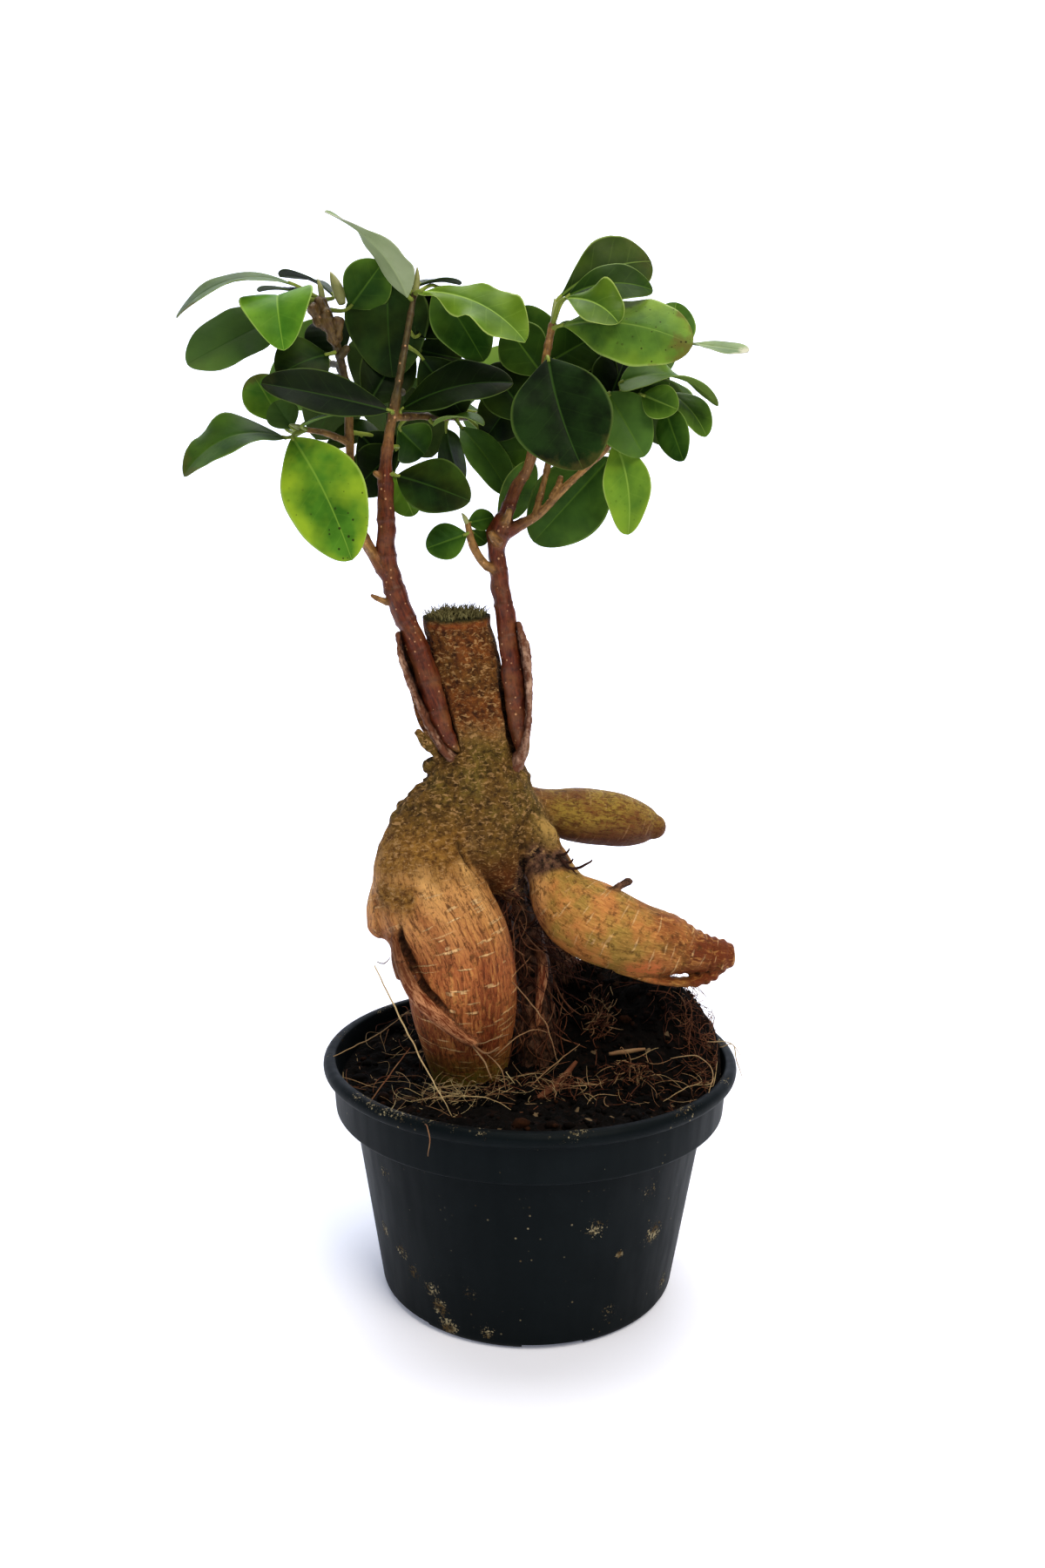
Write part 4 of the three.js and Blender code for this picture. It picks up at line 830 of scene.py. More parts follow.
calm = node(bark, "MapRange", {"Value": zone["tuber"], "To Min": 1, "To Max": 0.4})
dark_streak = node(bark, "Math", {0: mask["dark_streak"], 1: calm}, operation="MULTIPLY")

# The rough parts: brown cork on the shoulder, neck and stump, peaty fibre between the roots
CORK_COLOURS = {
    "shoulder": ("#63411a", "#a67c3c"), "neck": ("#443116", "#846430"), "neck_green": ("#4d4019", "#8c793a"),
    "stump": ("#42240f", "#8c5528"), "stump_green": ("#402d12", "#80602e"), "rim": ("#74381a", "#a8622f"),
    "felled": ("#25230f", "#4f4a26"), "peaty": ("#150d08", "#7a5a45"),
}
tones = {part: node(bark, "MixRGB", {"Fac": mask["cork"], "Color1": dark, "Color2": light})
         for part, (dark, light) in CORK_COLOURS.items()}
for part in ("neck", "stump"):
    tones[part] = node(bark, "MixRGB", {"Fac": mask["green"], "Color1": tones[part],
                                        "Color2": tones[part + "_green"]})
neck_red = node(bark, "MixRGB", {"Fac": streaks, "Color1": "#3c2210", "Color2": "#925a2c"})
tones["neck"] = node(bark, "MixRGB", {"Fac": mask["throat"], "Color1": tones["neck"], "Color2": neck_red})

# What is worn, damp or torn, and the painted shade in the hollows, grooves and creases, each over the bark
# below it
marks = []
for start, end, least, most, where in [(0.35, 0.6, 0, 0.9, "damp"), (0.4, 0.5, 0.3, 0.9, "knob"),
                                       (0.4, 0.56, 0, 1, "wound")]:
    mark = node(bark, "MapRange", {"Value": mottle, "From Min": start, "From Max": end, "To Min": least,
                                   "To Max": most})
    marks.append(node(bark, "Math", {0: mark, 1: zone[where]}, operation="MULTIPLY"))
algae, scaly, sore = marks
loose_bark = node(bark, "Attribute", attribute_name="loose", out="Fac")
ridge = node(bark, "MixRGB", {"Fac": mask["ridge"], "Color1": "#6a3218", "Color2": "#bf8a62"})
ridge = node(bark, "MixRGB", {"Fac": mask["worn_top"], "Color1": ridge, "Color2": "#543218"})
rim = node(bark, "Attribute", attribute_name="rim", out="Fac")
rim = node(bark, "Math", {0: rim, 1: 0.75}, operation="MULTIPLY")
colour = high
for share, layer in [
        (mask["low_down"], low), (zone["tuber"], tuber_olive), (zone["tail"], "#71391a"),
        (mask["light_streak"], "#cf9c58"), (zone["finger"], finger_skin),
        (dark_streak, "#4c270f"), (mask["specks"], "#4f3313"),
        (zone["corky"], tones["shoulder"]), (zone["neck"], tones["neck"]), (zone["trunk"], tones["stump"]),
        (zone["fibrous"], tones["peaty"]), (pits, "#22140a"), (fleck, "#c79f6a"), (pore, "#ecc28a"),
        (algae, "#77772c"), (loose_bark, ridge), (scaly, "#c4a05c"), (sore, "#cc7a48"),
        (mask["shade"], "#1a0f08"), (rim, tones["rim"]), (zone["cut"], tones["felled"])]:
    colour = node(bark, "MixRGB", {"Fac": share, "Color1": colour, "Color2": layer})
gloss = node(bark, "MapRange", {"Value": rough, "To Min": 0.5, "To Max": 0.74})
gloss = node(bark, "Math", {0: mottle, 1: 0.2, 2: gloss}, operation="MULTIPLY_ADD")
corky_grain = node(bark, "Math", {0: mottle, 1: rough}, operation="MULTIPLY")
bumps = None
for height, strength, depth in [(streaks, 0.9, 0.7), (mottle, 0.7, 0.5), (pore, 0.8, 0.3),
                                (corky_grain, 0.9, 0.9), (fleck, 0.8, 0.4)]:
    bumps = node(bark, "Bump", {"Height": height, "Strength": strength, "Distance": depth * MM,
                                "Normal": bumps})
wire(Base_Color=colour, Roughness=gloss, Normal=bumps)

rootstock = rooted("rootstock_bark", root.points, root.faces, bark, "root_bark", "rootstock")
triples = {group: np.stack(list(zones.values()), 1) for group, zones in ZONE_GROUPS.items()}
store(rootstock, grain=root.grain, **triples, loose=loose, rim=rim_zone)

# Torn bark: two tongues that were prised off the stump to take the grafts. They are the
# rootstock's own bark, still grown to it at the foot, and dried away from it above.
GRAFT_BARK = {
    "left": [(-37.8, -7, 189, 0.7, 1.8), (-37.1, -6.5, 183, 0.9, 3.5), (-34.4, -6.5, 175.8, 1, 4.5),
             (-30.5, -6, 166.5, 1.1, 5), (-26.4, -5, 159, 1.4, 5), (-21.6, -4, 153.5, 2.2, 5)],
    "right": [(-4.9, -6, 191.8, 0.8, 1.6), (-3.1, -6, 185, 1.5, 3.8), (-2.1, -6, 178.7, 1.2, 4.5),
              (-1.8, -5.5, 171, 1, 5), (-2, -5, 164.7, 1, 5), (-3.4, -4, 157.5, 1.5, 5),
              (-6.6, -2, 150, 3.2, 5)],
}

# Dry bark seen from its weathered side: grey brown, cracked and matt; on the side that faces its stem it is
# dark red-brown, partly the torn inner bark and partly painted shade of the gap
torn, wire = finish("torn_dry_bark", Roughness=0.85, IOR=1.4, Specular_IOR_Level=0.25)
place = node(torn, "TexCoord", out="Object")
patch = node(torn, "TexNoise", {"Vector": place, "Scale": pitch(3.846), "Detail": 5, "Roughness": 0.7})
patch = node(torn, "MapRange", {"Value": patch, "From Min": 0.46, "From Max": 0.64})
inner = node(torn, "Attribute", attribute_name="inner", out="Fac")
specks = node(torn, "TexNoise", {"Vector": place, "Scale": pitch(1.111), "Detail": 4})
outside = node(torn, "MixRGB", {"Fac": patch, "Color1": "#64402e", "Color2": "#a68770"})
stem_side_bark_and_shade = node(torn, "MixRGB", {"Fac": patch, "Color1": "#180c07", "Color2": "#4a2212"})
colour = node(torn, "MixRGB", {"Fac": inner, "Color1": outside, "Color2": stem_side_bark_and_shade})
cracks = None
for height, strength, depth in [(patch, 0.7, 0.5), (specks, 0.6, 0.3)]:
    cracks = node(torn, "Bump", {"Height": height, "Strength": strength, "Distance": depth * MM,
                                 "Normal": cracks})
wire(Base_Color=colour, Normal=cracks)

TONGUE_SIDES = 26
TONGUE_STEP = 0.7
TONGUE_VOXEL = 0.3
for side, rows in GRAFT_BARK.items():
    shape = limb(rows, TONGUE_SIDES, TONGUE_STEP)
    points, faces = fused([shape], TONGUE_VOXEL)
    tongue = Skin(points, faces, [shape])
    tongue.ease(2)
    tongue.push(0.35 * ripple_at(tongue.points, 2.6, 7) + 0.3 * ripple_at(tongue.points, 1.1, 8))
    stem = smooth_path(LEFT_STEM if side == "left" else RIGHT_STEM, 1)[:, :3]
    toward = [stem[np.linalg.norm(stem - point, axis=1).argmin()] - point for point in tongue.points]
    # The side of each tongue that faces its stem, which the finish paints dark, partly as painted shade
    inner = (np.array([unit(line) for line in toward]) * tongue.normals()).sum(1).clip(0, 1)
    piece = rooted("graft_bark_" + side, tongue.points, tongue.faces, torn, "root_bark", "rootstock")
    store(piece, inner=inner)

# The moss: short tufts on the felled end of the stump, where it stays damp. Each shoot is a fine
# bent blade, thicker at the foot, and roots in the cork.
MOSS_SHOOTS = 640
MOSS_RADIUS = 8.3
MOSS_BLADE = (0.13, 0.12, 0.08, 0.03)


def strands(name, lines, sides, material, slot):
    """One piece of many thin closed strands, each given as (points, radii, tint)."""
    points, faces, tints = [], [], []
    for path, radii, tint in lines:
        path = np.array(path, float)
        heading = np.gradient(path, axis=0)
        first = len(points)
        side = None
        for i, centre in enumerate(path):
            ahead = unit(heading[i])
            if side is None:
                side = np.cross(ahead, (0.31, 0.17, 0.94) if abs(ahead[2]) < 0.8 else (0.9, 0.3, 0.1))
            side = unit(side - ahead * (side @ ahead))
            deep = np.cross(ahead, side)
            for k in range(sides):
                turn = 2 * math.pi * k / sides
                points.append(centre + radii[i] * (side * math.cos(turn) + deep * math.sin(turn)))
                tints.append(tint)
        last = first + (len(path) - 1) * sides
        for low in range(first, last, sides):
            faces += bridge(low, low + sides, sides)
        faces.append(tuple(range(first, first + sides))[::-1])
        faces.append(tuple(range(last, last + sides)))
    store(rooted(name, points, faces, material, slot), tint=tints)


# Moss and algae, damp and matt: from dark olive to a pale olive brown
moss, wire = finish("stump_moss", Roughness=0.9, IOR=1.4, Specular_IOR_Level=0.05)
tint = node(moss, "Attribute", attribute_name="tint", out="Fac")
place = node(moss, "TexCoord", out="Object")
patch = node(moss, "TexNoise", {"Vector": place, "Scale": pitch(1.429), "Detail": 2})
patch = node(moss, "Math", {0: patch, 1: 0.5, 2: tint}, operation="MULTIPLY_ADD")
green = node(moss, "ValToRGB", {"Fac": patch}, stops=[(0.2, "#2c2914"), (0.95, "#837c55")])
fuzz = node(moss, "Bump", {"Height": patch, "Strength": 0.5, "Distance": 0.2 * MM})
wire(Base_Color=green, Normal=fuzz)

growth = random.Random(11)
shoots = []
for _ in range(MOSS_SHOOTS):
    turn, reach = growth.uniform(0, 2 * math.pi), MOSS_RADIUS * math.sqrt(growth.random())
    x, y = reach * math.cos(turn), reach * math.sin(turn)
    foot = STUMP_TOP + (x, y, np.dot((x, y), STUMP_TILT) - 0.4)
    tall = growth.uniform(0.5, 2.9) + 1.6 * max(0, noise.noise(Vector((x, y, 3)) / 2.6))
    lean = np.array([growth.gauss(0, 0.5), growth.gauss(0, 0.5), 0])
    path = [foot + (np.array([0, 0, 1]) * t + lean * t ** 2) * tall for t in (0, 0.35, 0.7, 1)]
    shoots.append((path, MOSS_BLADE, growth.random()))
strands("stump_moss", shoots, 4, moss, "moss")

# The scions: two stems of small-leaved ficus grafted on the stump, with their twigs. Each grew as
# one piece, red-brown where it is thick and tan where it is young, with a ring at every old leaf.
LEFT_TWIGS = [
    [(-40.4, -6, 203.7, 1.8), (-43.8, -7, 208.8, 1.5), (-47.2, -6, 214.6, 1.4), (-50.3, -4, 223.6, 1.2),
     (-51.2, -4, 237.4, 1.1), (-51.4, -5, 248.7, 1.1), (-52.6, -6, 258.6, 1), (-54.2, -7, 265, 1.2),
     (-56.3, -8, 271.4, 1.6), (-57.6, -8, 275.8, 1.1)],
    [(-51.1, -4, 240, 1), (-57, -7, 242, 0.8), (-62, -10, 242.5, 0.7)],
    [(-38.2, -10, 246, 1), (-33, -3, 247.5, 0.9), (-27, 7, 249, 0.9), (-21, 14, 250, 0.8),
     (-17, 20, 252, 0.7)],
    [(-37.4, -10, 253, 0.9), (-37, -4, 253.5, 0.8), (-39, 5, 256, 0.7), (-41, 12, 260, 0.7)],
    [(-52.4, -6, 257, 0.9), (-55, 0, 261, 0.8), (-58, 8, 263, 0.7)],
]
RIGHT_TWIGS = [
    [(-9.8, -5, 218.5, 2), (-7.5, -5, 225, 1.7), (-5.7, -4.5, 229.5, 1.5), (-2.9, -5, 234, 1.3),
     (-0.6, -7, 243, 1.3), (0.6, -10, 253, 1.1), (1.6, -11, 262, 1), (3, -9, 270, 0.9)],
    [(-8.9, -5, 216.6, 1.9), (-4.1, -5, 219.2, 1.4), (1, -5, 222.5, 1.1), (7.1, -6, 228.7, 0.9),
     (13.5, -7, 234.7, 0.85), (18, -8, 239.6, 1.1), (20, -8, 247, 0.9), (22.5, -7, 254.7, 0.85),
     (27, -6, 261.6, 0.8), (31, -5, 265, 0.7)],
    [(-10.6, -5.5, 206, 1.3), (-13.5, -7, 207.5, 1.1), (-16.3, -8, 210.7, 1.1), (-18, -8, 214.4, 1),
     (-18.9, -8, 218.5, 0.8)],
    [(-0.8, -5.5, 221.2, 1), (1.4, -2, 230, 0.8), (3, 2, 237, 0.8), (5, 6, 246, 0.7), (7, 10, 256, 0.7),
     (9, 14, 262, 0.6)],
    [(21.5, -7.5, 251.5, 0.8), (27, -7, 252.5, 0.7), (31, -8, 252.5, 0.6)],
    [(4.2, 4.5, 242.5, 0.7), (1, 8, 249, 0.6), (-0.5, 10, 256, 0.6)],
]
# Thorns, stubs of lost shoots and the swollen scar near the left tip
STUBS = {
    "left": [[(-41, -6, 197.5, 1), (-43.2, -6.6, 198.3, 0.7), (-44.9, -8, 199.2, 0.5)],
             [(-43, -7, 207.5, 0.8), (-46, -8.5, 212.5, 0.9), (-49, -9, 216.6, 0.7)],
             [(-54.4, -8, 265.4, 1.2), (-55.6, -8.6, 268.8, 1.7), (-57, -9, 272, 1.7),
              (-58.2, -9, 275.4, 1)],
             [(-53.6, -8, 266.4, 1.3), (-53, -9.6, 270, 1.2)],
             [(-58.2, -9, 270, 1.3), (-59.6, -10, 273, 1.4)],
             [(-53, -7, 262, 1), (-51.2, -9, 263.5, 0.9)],
             [(-41.3, -9, 230, 1), (-43.6, -9.5, 231.5, 0.7)]],
    "right": [[(3.8, -5.6, 226.4, 0.9), (5.3, -5.6, 229, 0.9), (6, -5.4, 231.4, 0.7)],
              [(-10.8, -7, 214, 1.3), (-12.6, -8, 216, 0.9)],
              [(-8.6, -7.5, 219.6, 1.2), (-7.8, -8.4, 222.2, 0.8)]],
}
CALLUS = (8, 9, 10)  # the limbs of the left scion that make the scar
STEM_SIDES = 18
STEM_STEP = 0.8
STEM_VOXEL = 0.32
NODE_SPACING = 9  # between the rings that old leaves left

# Young ficus bark: red-brown, thin and faintly glossy, with pale pinhead pores
stem_bark, wire = finish("young_ficus_bark", IOR=1.46, Specular_IOR_Level=0.35)
grain = node(stem_bark, "Attribute", attribute_name="grain", out="Vector")
age, ring, olive = (node(stem_bark, "Attribute", attribute_name=name, out="Fac")
                    for name in ("age", "ring", "olive"))
place = node(stem_bark, "TexCoord", out="Object")
stretch = node(stem_bark, "Mapping", {"Vector": grain, "Scale": (1, 1, 0.18)})
streaks = node(stem_bark, "TexNoise", {"Vector": stretch, "Scale": 1 / 0.625, "Detail": 5,
                                       "Roughness": 0.65})
mottle = node(stem_bark, "TexNoise", {"Vector": place, "Scale": pitch(1.613), "Detail": 4,
                                      "Roughness": 0.65})
pins = node(stem_bark, "TexVoronoi", {"Vector": place, "Scale": pitch(1.316)}).node.outputs
pin_size = node(stem_bark, "SeparateColor", {0: pins["Color"]}, out="Red")
pin_size = node(stem_bark, "MapRange", {"Value": pin_size, "From Min": 0.4, "To Max": 0.32})
pin = node(stem_bark, "Math", {0: pin_size, 1: pins["Distance"]}, operation="SUBTRACT")
pin = node(stem_bark, "MapRange", {"Value": pin, "From Max": 0.1, "To Max": 0.75})
red = node(stem_bark, "MapRange", {"Value": streaks, "From Min": 0.25, "From Max": 0.75})
old = node(stem_bark, "MixRGB", {"Fac": red, "Color1": "#2c1008", "Color2": "#74371b"})
young = node(stem_bark, "MixRGB", {"Fac": red, "Color1": "#5a3d1c", "Color2": "#a57e48"})
green = node(stem_bark, "MixRGB", {"Fac": red, "Color1": "#29210f", "Color2": "#5c4f2c"})
# Paler tan patches on the old bark, partly its own colour and partly painted highlight
tan_patches_and_highlight = node(stem_bark, "TexNoise", {"Vector": place, "Scale": pitch(5.882), "Detail": 4})
tan_patches_and_highlight = node(stem_bark, "MapRange", {"Value": tan_patches_and_highlight, "From Min": 0.46, "From Max": 0.72, "To Max": 0.5})
old = node(stem_bark, "MixRGB", {"Fac": tan_patches_and_highlight, "Color1": old, "Color2": "#7e5630"})
dark = node(stem_bark, "MapRange", {"Value": mottle, "From Min": 0.5, "From Max": 0.36, "To Max": 0.45})
colour = young
for share, layer in [(age, old), (olive, green), (dark, "#2a1208"), (ring, "#4a2e1c"), (pin, "#b98d64")]:
    colour = node(stem_bark, "MixRGB", {"Fac": share, "Color1": colour, "Color2": layer})
gloss = node(stem_bark, "MapRange", {"Value": mottle, "To Min": 0.3, "To Max": 0.6})
wrinkle = None
for height, strength, depth in [(streaks, 0.6, 0.3), (mottle, 0.5, 0.25), (pin, 0.5, 0.15)]:
    wrinkle = node(stem_bark, "Bump", {"Height": height, "Strength": strength, "Distance": depth * MM,
                                       "Normal": wrinkle})
wire(Base_Color=colour, Roughness=gloss, Normal=wrinkle)

for side, main, twigs in [("left", LEFT_STEM, LEFT_TWIGS), ("right", RIGHT_STEM, RIGHT_TWIGS)]:
    shapes = [limb(rows, STEM_SIDES, STEM_STEP) for rows in [main, *twigs, *STUBS[side]]]
    points, faces = fused(shapes, STEM_VOXEL)
    stem = Skin(points, faces, shapes)
    stem.ease(2)
    turn = (stem.grain[:, 2] + 2 * ripple_at(stem.points, 30, 9)) % NODE_SPACING
    ring = np.exp(-((turn - NODE_SPACING / 2) / 0.55) ** 2)
    size = (stem.girth / 2.4).clip(0.25, 1)
    wrinkles = ripple_at(stem.grain * (1, 1, 0.22), 1.5, 10)
    lumps = ripple_at(stem.points, 3.4, 11)
    scar = stem.blend(np.isin(stem.owner, CALLUS) & (side == "left"), 6)
    knobs = ripple_at(stem.points, 1.7, 13)
    stem.push(0.04 + 0.14 * size + size * (0.4 * lumps + 0.25 * wrinkles) + 0.2 * ring * size ** 0.5
              + scar * 0.8 * knobs)
    olive = ((stem.points[:, 2] - 240) / 12).clip(0, 1) * (stem.points[:, 0] < 0) * (1 - 0.25 * scar)
    age = stem.blend(((stem.girth - 1.1) / 0.6).clip(0, 1) * (stem.points[:, 2] < 262), 10)
    piece = rooted("scion_bark_" + side, stem.points, stem.faces, stem_bark, "stem_bark", "scion_" + side)
    store(piece, grain=stem.grain, age=age, ring=0.35 * ring, olive=olive)

# The leaves: leathery, glossy blades on short stalks, a thin pale margin all round. Each was bent
# by the light it grew in, so every blade has its own arch, fold, twist and sweep.
LEAVES = [
    # name, tone, blade's base, tip, width, turn, then as many of its shape's values as aren't usual
    ("crown_tip", "pale", (-35, -9, 277), (-53, -30, 291), 14.5, 125, 0.06, 8, -45, -0.08, 0.44),
    ("crown_left", "mid", (-51, -4, 275), (-42, -6, 286), 14, 30, 0, 8),
    ("crown_large", "dark", (-41, -2, 284), (-40, 0, 258), 23, 0, 0.02, 6, 0, 0.02, 0.4),
    ("crown_wavy", "lime", (-32, -10, 278), (-4, -22, 263), 15.5, -34, 0.06, 6, 0, -0.09, 0.62),
    ("crown_thin", "dark", (-33, -4, 281), (-22, 2, 283), 14, -74, 0.08),
    ("crown_right", "mid", (-28, -4, 281), (-15, -8, 261), 16, -15, 0.05),
    ("far_left_arch", "olive", (-65, -10, 279.4), (-92.8, -20, 268.2), 17.5, 53, 0.16, 2, 18, 0, 0.55),
    ("left_bright", "bright", (-67.6, -13, 275.4), (-64, -28, 259), 19.2, -5, 0.24, 11, 0, 0, 0.42),
    ("left_glossy", "dark", (-65, -8, 273.5), (-92, -14, 258), 20, 32, 0.04, 8, 0, -0.03, 0.58),
    ("left_inner", "dark", (-56, -9, 262), (-68, -16, 255), 16, 20, 0.08),
    ("left_dark", "dark", (-39, -14, 247), (-70, -27, 251), 15.5, 38, -0.03, 8, 0, 0.05),
    ("left_back_lime", "bright", (-71, 3, 246), (-79, 5, 259), 14, 20, 0.05, 8),
    ("left_ragged", "mid", (-67, -12, 240), (-92, -20, 229), 20, 50, 0.2, 8),
    ("left_hanging", "bright", (-65, -14, 240), (-48, -24, 208), 22.5, 0, 0.05, 6, 0, -0.04),
    ("left_sliver", "mid", (-62, -15, 243), (-47, -13, 246), 12, -78, 0.08),
    ("left_small", "dark", (-66, -8, 243), (-71, -7, 250), 9, 12),
    ("left_droop", "dark", (-43, 3, 243), (-60, 9, 241), 14, 50, 0.1, 8),
    ("left_top_edge", "dark", (-55, -4, 278), (-71, 4, 285), 12, 80, 0.1),
    ("left_top_small", "dark", (-62, -4, 278), (-76, 0, 280), 13, 75, 0.08),
    ("middle_dark", "dark", (-37, -9, 248), (-7, -16, 254), 16.5, -38, 0.06, 8, 0, -0.05),
    ("middle_low", "dark", (-38, -10, 231), (-18, -16, 224), 16, -20, 0.04),
    ("middle_lime", "lime", (-39, -5, 232), (-34, -3, 221), 10, 0),
    ("middle_inner", "mid", (-38, -4, 244), (-32, 8, 239), 13, 0),
    ("middle_hanging", "dark", (-26, 9, 246), (-21, 7, 231), 15, 55, 0.05),
    ("middle_arch", "olive", (-29, 1, 246), (-15, -5, 245), 12, -78, 0.15),
    ("middle_droop", "mid", (-22, 10, 247), (-8, 7, 228), 15, -40, 0.05),
    ("middle_dull", "olive", (-17, 13, 247), (-4, 16, 234), 15, 0, 0.05),
    ("middle_back", "dark", (-34, 8, 267), (-22, 14, 266), 13, 0),
    ("middle_fill", "dark", (-4, 10, 259), (-15, 12, 244), 15, 0),
    ("right_large", "dark", (2, -18, 260), (11, -28, 231), 26, 0, 0.05, 4, 0, 0.04),
    ("right_top", "olive", (4.5, -7, 277.4), (29.1, -4, 287.8), 17.5, -12, 0.04, 6, 0, -0.08, 0.66),
    ("right_top_inner", "mid", (6.6, -10, 277), (29, -12, 278.4), 12.5, -30, 0.16, 6, 0, 0, 0.56),
    ("right_lime", "lime", (5.7, -14, 275.6), (19.3, -24, 267.4), 13, -20, 0.05, 6, 0, -0.1, 0.6),
    ("right_spotted", "olive", (5, -12, 269.4), (38.1, -24, 262.2), 21.5, -24, 0.06, -12, 0, -0.05, 0.6),
    ("right_behind", "bright", (34, -2, 263), (36.8, 2, 279), 13, 0, 0, 6, 0, 0, 0.56),
    ("far_right", "pale", (39, -6, 267), (54, -14, 263), 11, -58, 0.02, 6, 0, 0.08, 0.66),
    ("right_twisted", "olive", (21, -10, 255.6), (47.2, -11, 250), 15.5, -28, 0.1, 6, -90, -0.14, 0.3),
    ("right_young", "olive", (26.7, -13, 252.1), (35.6, -18, 247.6), 9.5, 0),
    ("right_olive", "olive", (35, -4, 254.4), (44.7, -8, 242.4), 13, -40, 0.1),
    ("right_tip", "mid", (33, -12, 248.6), (37.8, -16, 235), 10.5, 42, 0, 6, 0, 0, 0.42),
    ("right_dull", "mid", (18, -10, 253), (27.7, -14, 236.2), 15, 0, 0.03, 6, 0, 0, 0.45),
    ("right_yellow", "lime", (20, -9, 241), (24, -14, 216), 13, 22, 0.02, 6, 0, -0.08),
    ("right_back", "mid", (3, 8, 261), (-5, 12, 280), 14, 0),
    ("right_edge", "pale", (0, 2, 260), (-11, 6, 261), 11, 84, 0.12),
    ("low_right", "mid", (20, 2, 238), (-1, 6, 215), 21.5, 0, 0.04),
    ("low_round", "mid", (-19, -9, 216), (-30, -9, 212), 10, 0),
    ("low_small", "mid", (-19, -7, 219), (-12, -3, 221), 6, 0),
    ("low_tiny", "mid", (-18, -6, 217), (-14, -2, 214), 5, 0),
    ("fork", "olive", (-11, 3, 220), (-1, 8, 237), 13, 45),
    ("rear_far_left", "mid", (-61, 12, 262), (-80, 32, 257), 18, 150, 0.08),
    ("rear_left", "dark", (-43, 16, 262), (-48, 42, 250), 20, 170, 0.08),
    ("rear_middle", "mid", (-22, 24, 254), (-30, 42, 268), 19, 190, 0.05),
    ("rear_low", "dark", (-12, 24, 250), (-6, 42, 234), 19, 190, 0.08),
    ("rear_right", "mid", (13, 18, 263), (26, 38, 256), 19, 190, 0.08),
    ("rear_far_right", "bright", (30, 3, 261), (42, 25, 252.5), 14.5, 262, 0.08),
]
# Leaves of the same twigs that the front view hardly shows
REAR_LEAVES = [
    ("spray_1", "mid", (-59, 9, 264), (-72, 22, 274), 16, 160, 0.06),
    ("spray_2", "dark", (-42, 13, 262), (-56, 30, 273), 18, 172, 0.06),
    ("spray_3", "mid", (-40, 13, 259), (-30, 33, 250), 17, 190, 0.06),
    ("spray_4", "mid", (-17, 22, 253), (-19, 46, 249), 18, 180, 0.1),
    ("spray_5", "bright", (-16, 21, 255), (-9, 30, 273), 16, 186, 0.06),
    ("spray_6", "mid", (9, 16, 263), (11, 33, 276), 17, 186, 0.06),
    ("spray_7", "dark", (8, 15, 259), (0, 37, 247), 18, 178, 0.08),
    ("spray_8", "mid", (32, -3, 266), (39, 15, 270), 14, 204, 0.06),
    ("spray_9", "dark", (26, -3, 259), (39, 12, 243), 17, 200, 0.06),
    ("spray_10", "dark", (-39, 6, 257), (-31, 22, 240), 17, 184, 0.06),
    ("spray_11", "dark", (-53, 1, 259), (-64, 17, 244), 17, 165, 0.06),
    ("core_1", "dark", (-47, -1, 250), (-37, 6, 269), 15, 10, 0.05),
    ("core_2", "dark", (-38, -4, 239), (-51, 3, 228), 14, 10, 0.05),
    ("core_3", "dark", (-32, -3, 263), (-21, 4, 249), 15, 0, 0.05),
    ("core_4", "dark", (-33, -3, 268), (-23, 6, 280), 14, 0, 0.05),
    ("core_5", "dark", (-2, -4, 246), (-14, 3, 262), 15, 0, 0.05),
    ("core_6", "mid", (1, -5, 258), (-9, 1, 272), 14, -10, 0.05),
    ("core_7", "dark", (21, -3, 254), (9, 4, 262), 16, 0, 0.05),
    ("core_8", "mid", (3, -4, 262), (15, 3, 270), 15, 0, 0.05),
    ("core_9", "dark", (4, 3, 240), (16, 6, 252), 16, 0, 0.05),
    ("core_10", "dark", (-53, -2, 264), (-62, 4, 273), 13, 20, 0.05),
    ("core_11", "dark", (-49, -1, 243), (-40, 5, 234), 14, 0, 0.05),
    ("core_12", "dark", (18, -5, 250), (24, 1, 266), 15, 0, 0.05),
    ("core_13", "mid", (24, -3, 256), (35, 3, 262), 13, 0, 0.05),
]
# What wind, sun and age did to single leaves: yellowing, browning and dark specks, from 0 to 1,
# and how ragged and how wavy the margin is
USUAL_WEAR = (0.08, 0.06, 0.05, 0, 1)
WEATHERED = {
    "left_hanging": (0.9, 0.1, 0.9, 0, 1), "right_spotted": (0.4, 0.7, 1, 0.2, 1.2),
    "left_ragged": (0.1, 0.4, 0.3, 1, 1.6), "right_large": (0, 0.3, 0.1, 0, 0.8),
    "crown_tip": (0, 1, 0.2, 0.3, 2), "crown_wavy": (0.3, 0, 0.1, 0, 5),
    "right_lime": (0.3, 0, 0, 0, 11), "left_bright": (0.2, 0, 0.1, 0, 0.7),
    "right_top": (0.3, 0.15, 0.3, 0.5, 2), "far_right": (0, 1, 0.3, 0.4, 1.5),
    "right_twisted": (0.2, 0.3, 0.2, 0.2, 1.5), "far_left_arch": (0.2, 0.6, 0.1, 0, 0.3),
    "right_yellow": (0.6, 0.1, 0.3, 0.1, 1.6), "left_back_lime": (0.5, 0.6, 0.2, 0.3, 1.5),
}
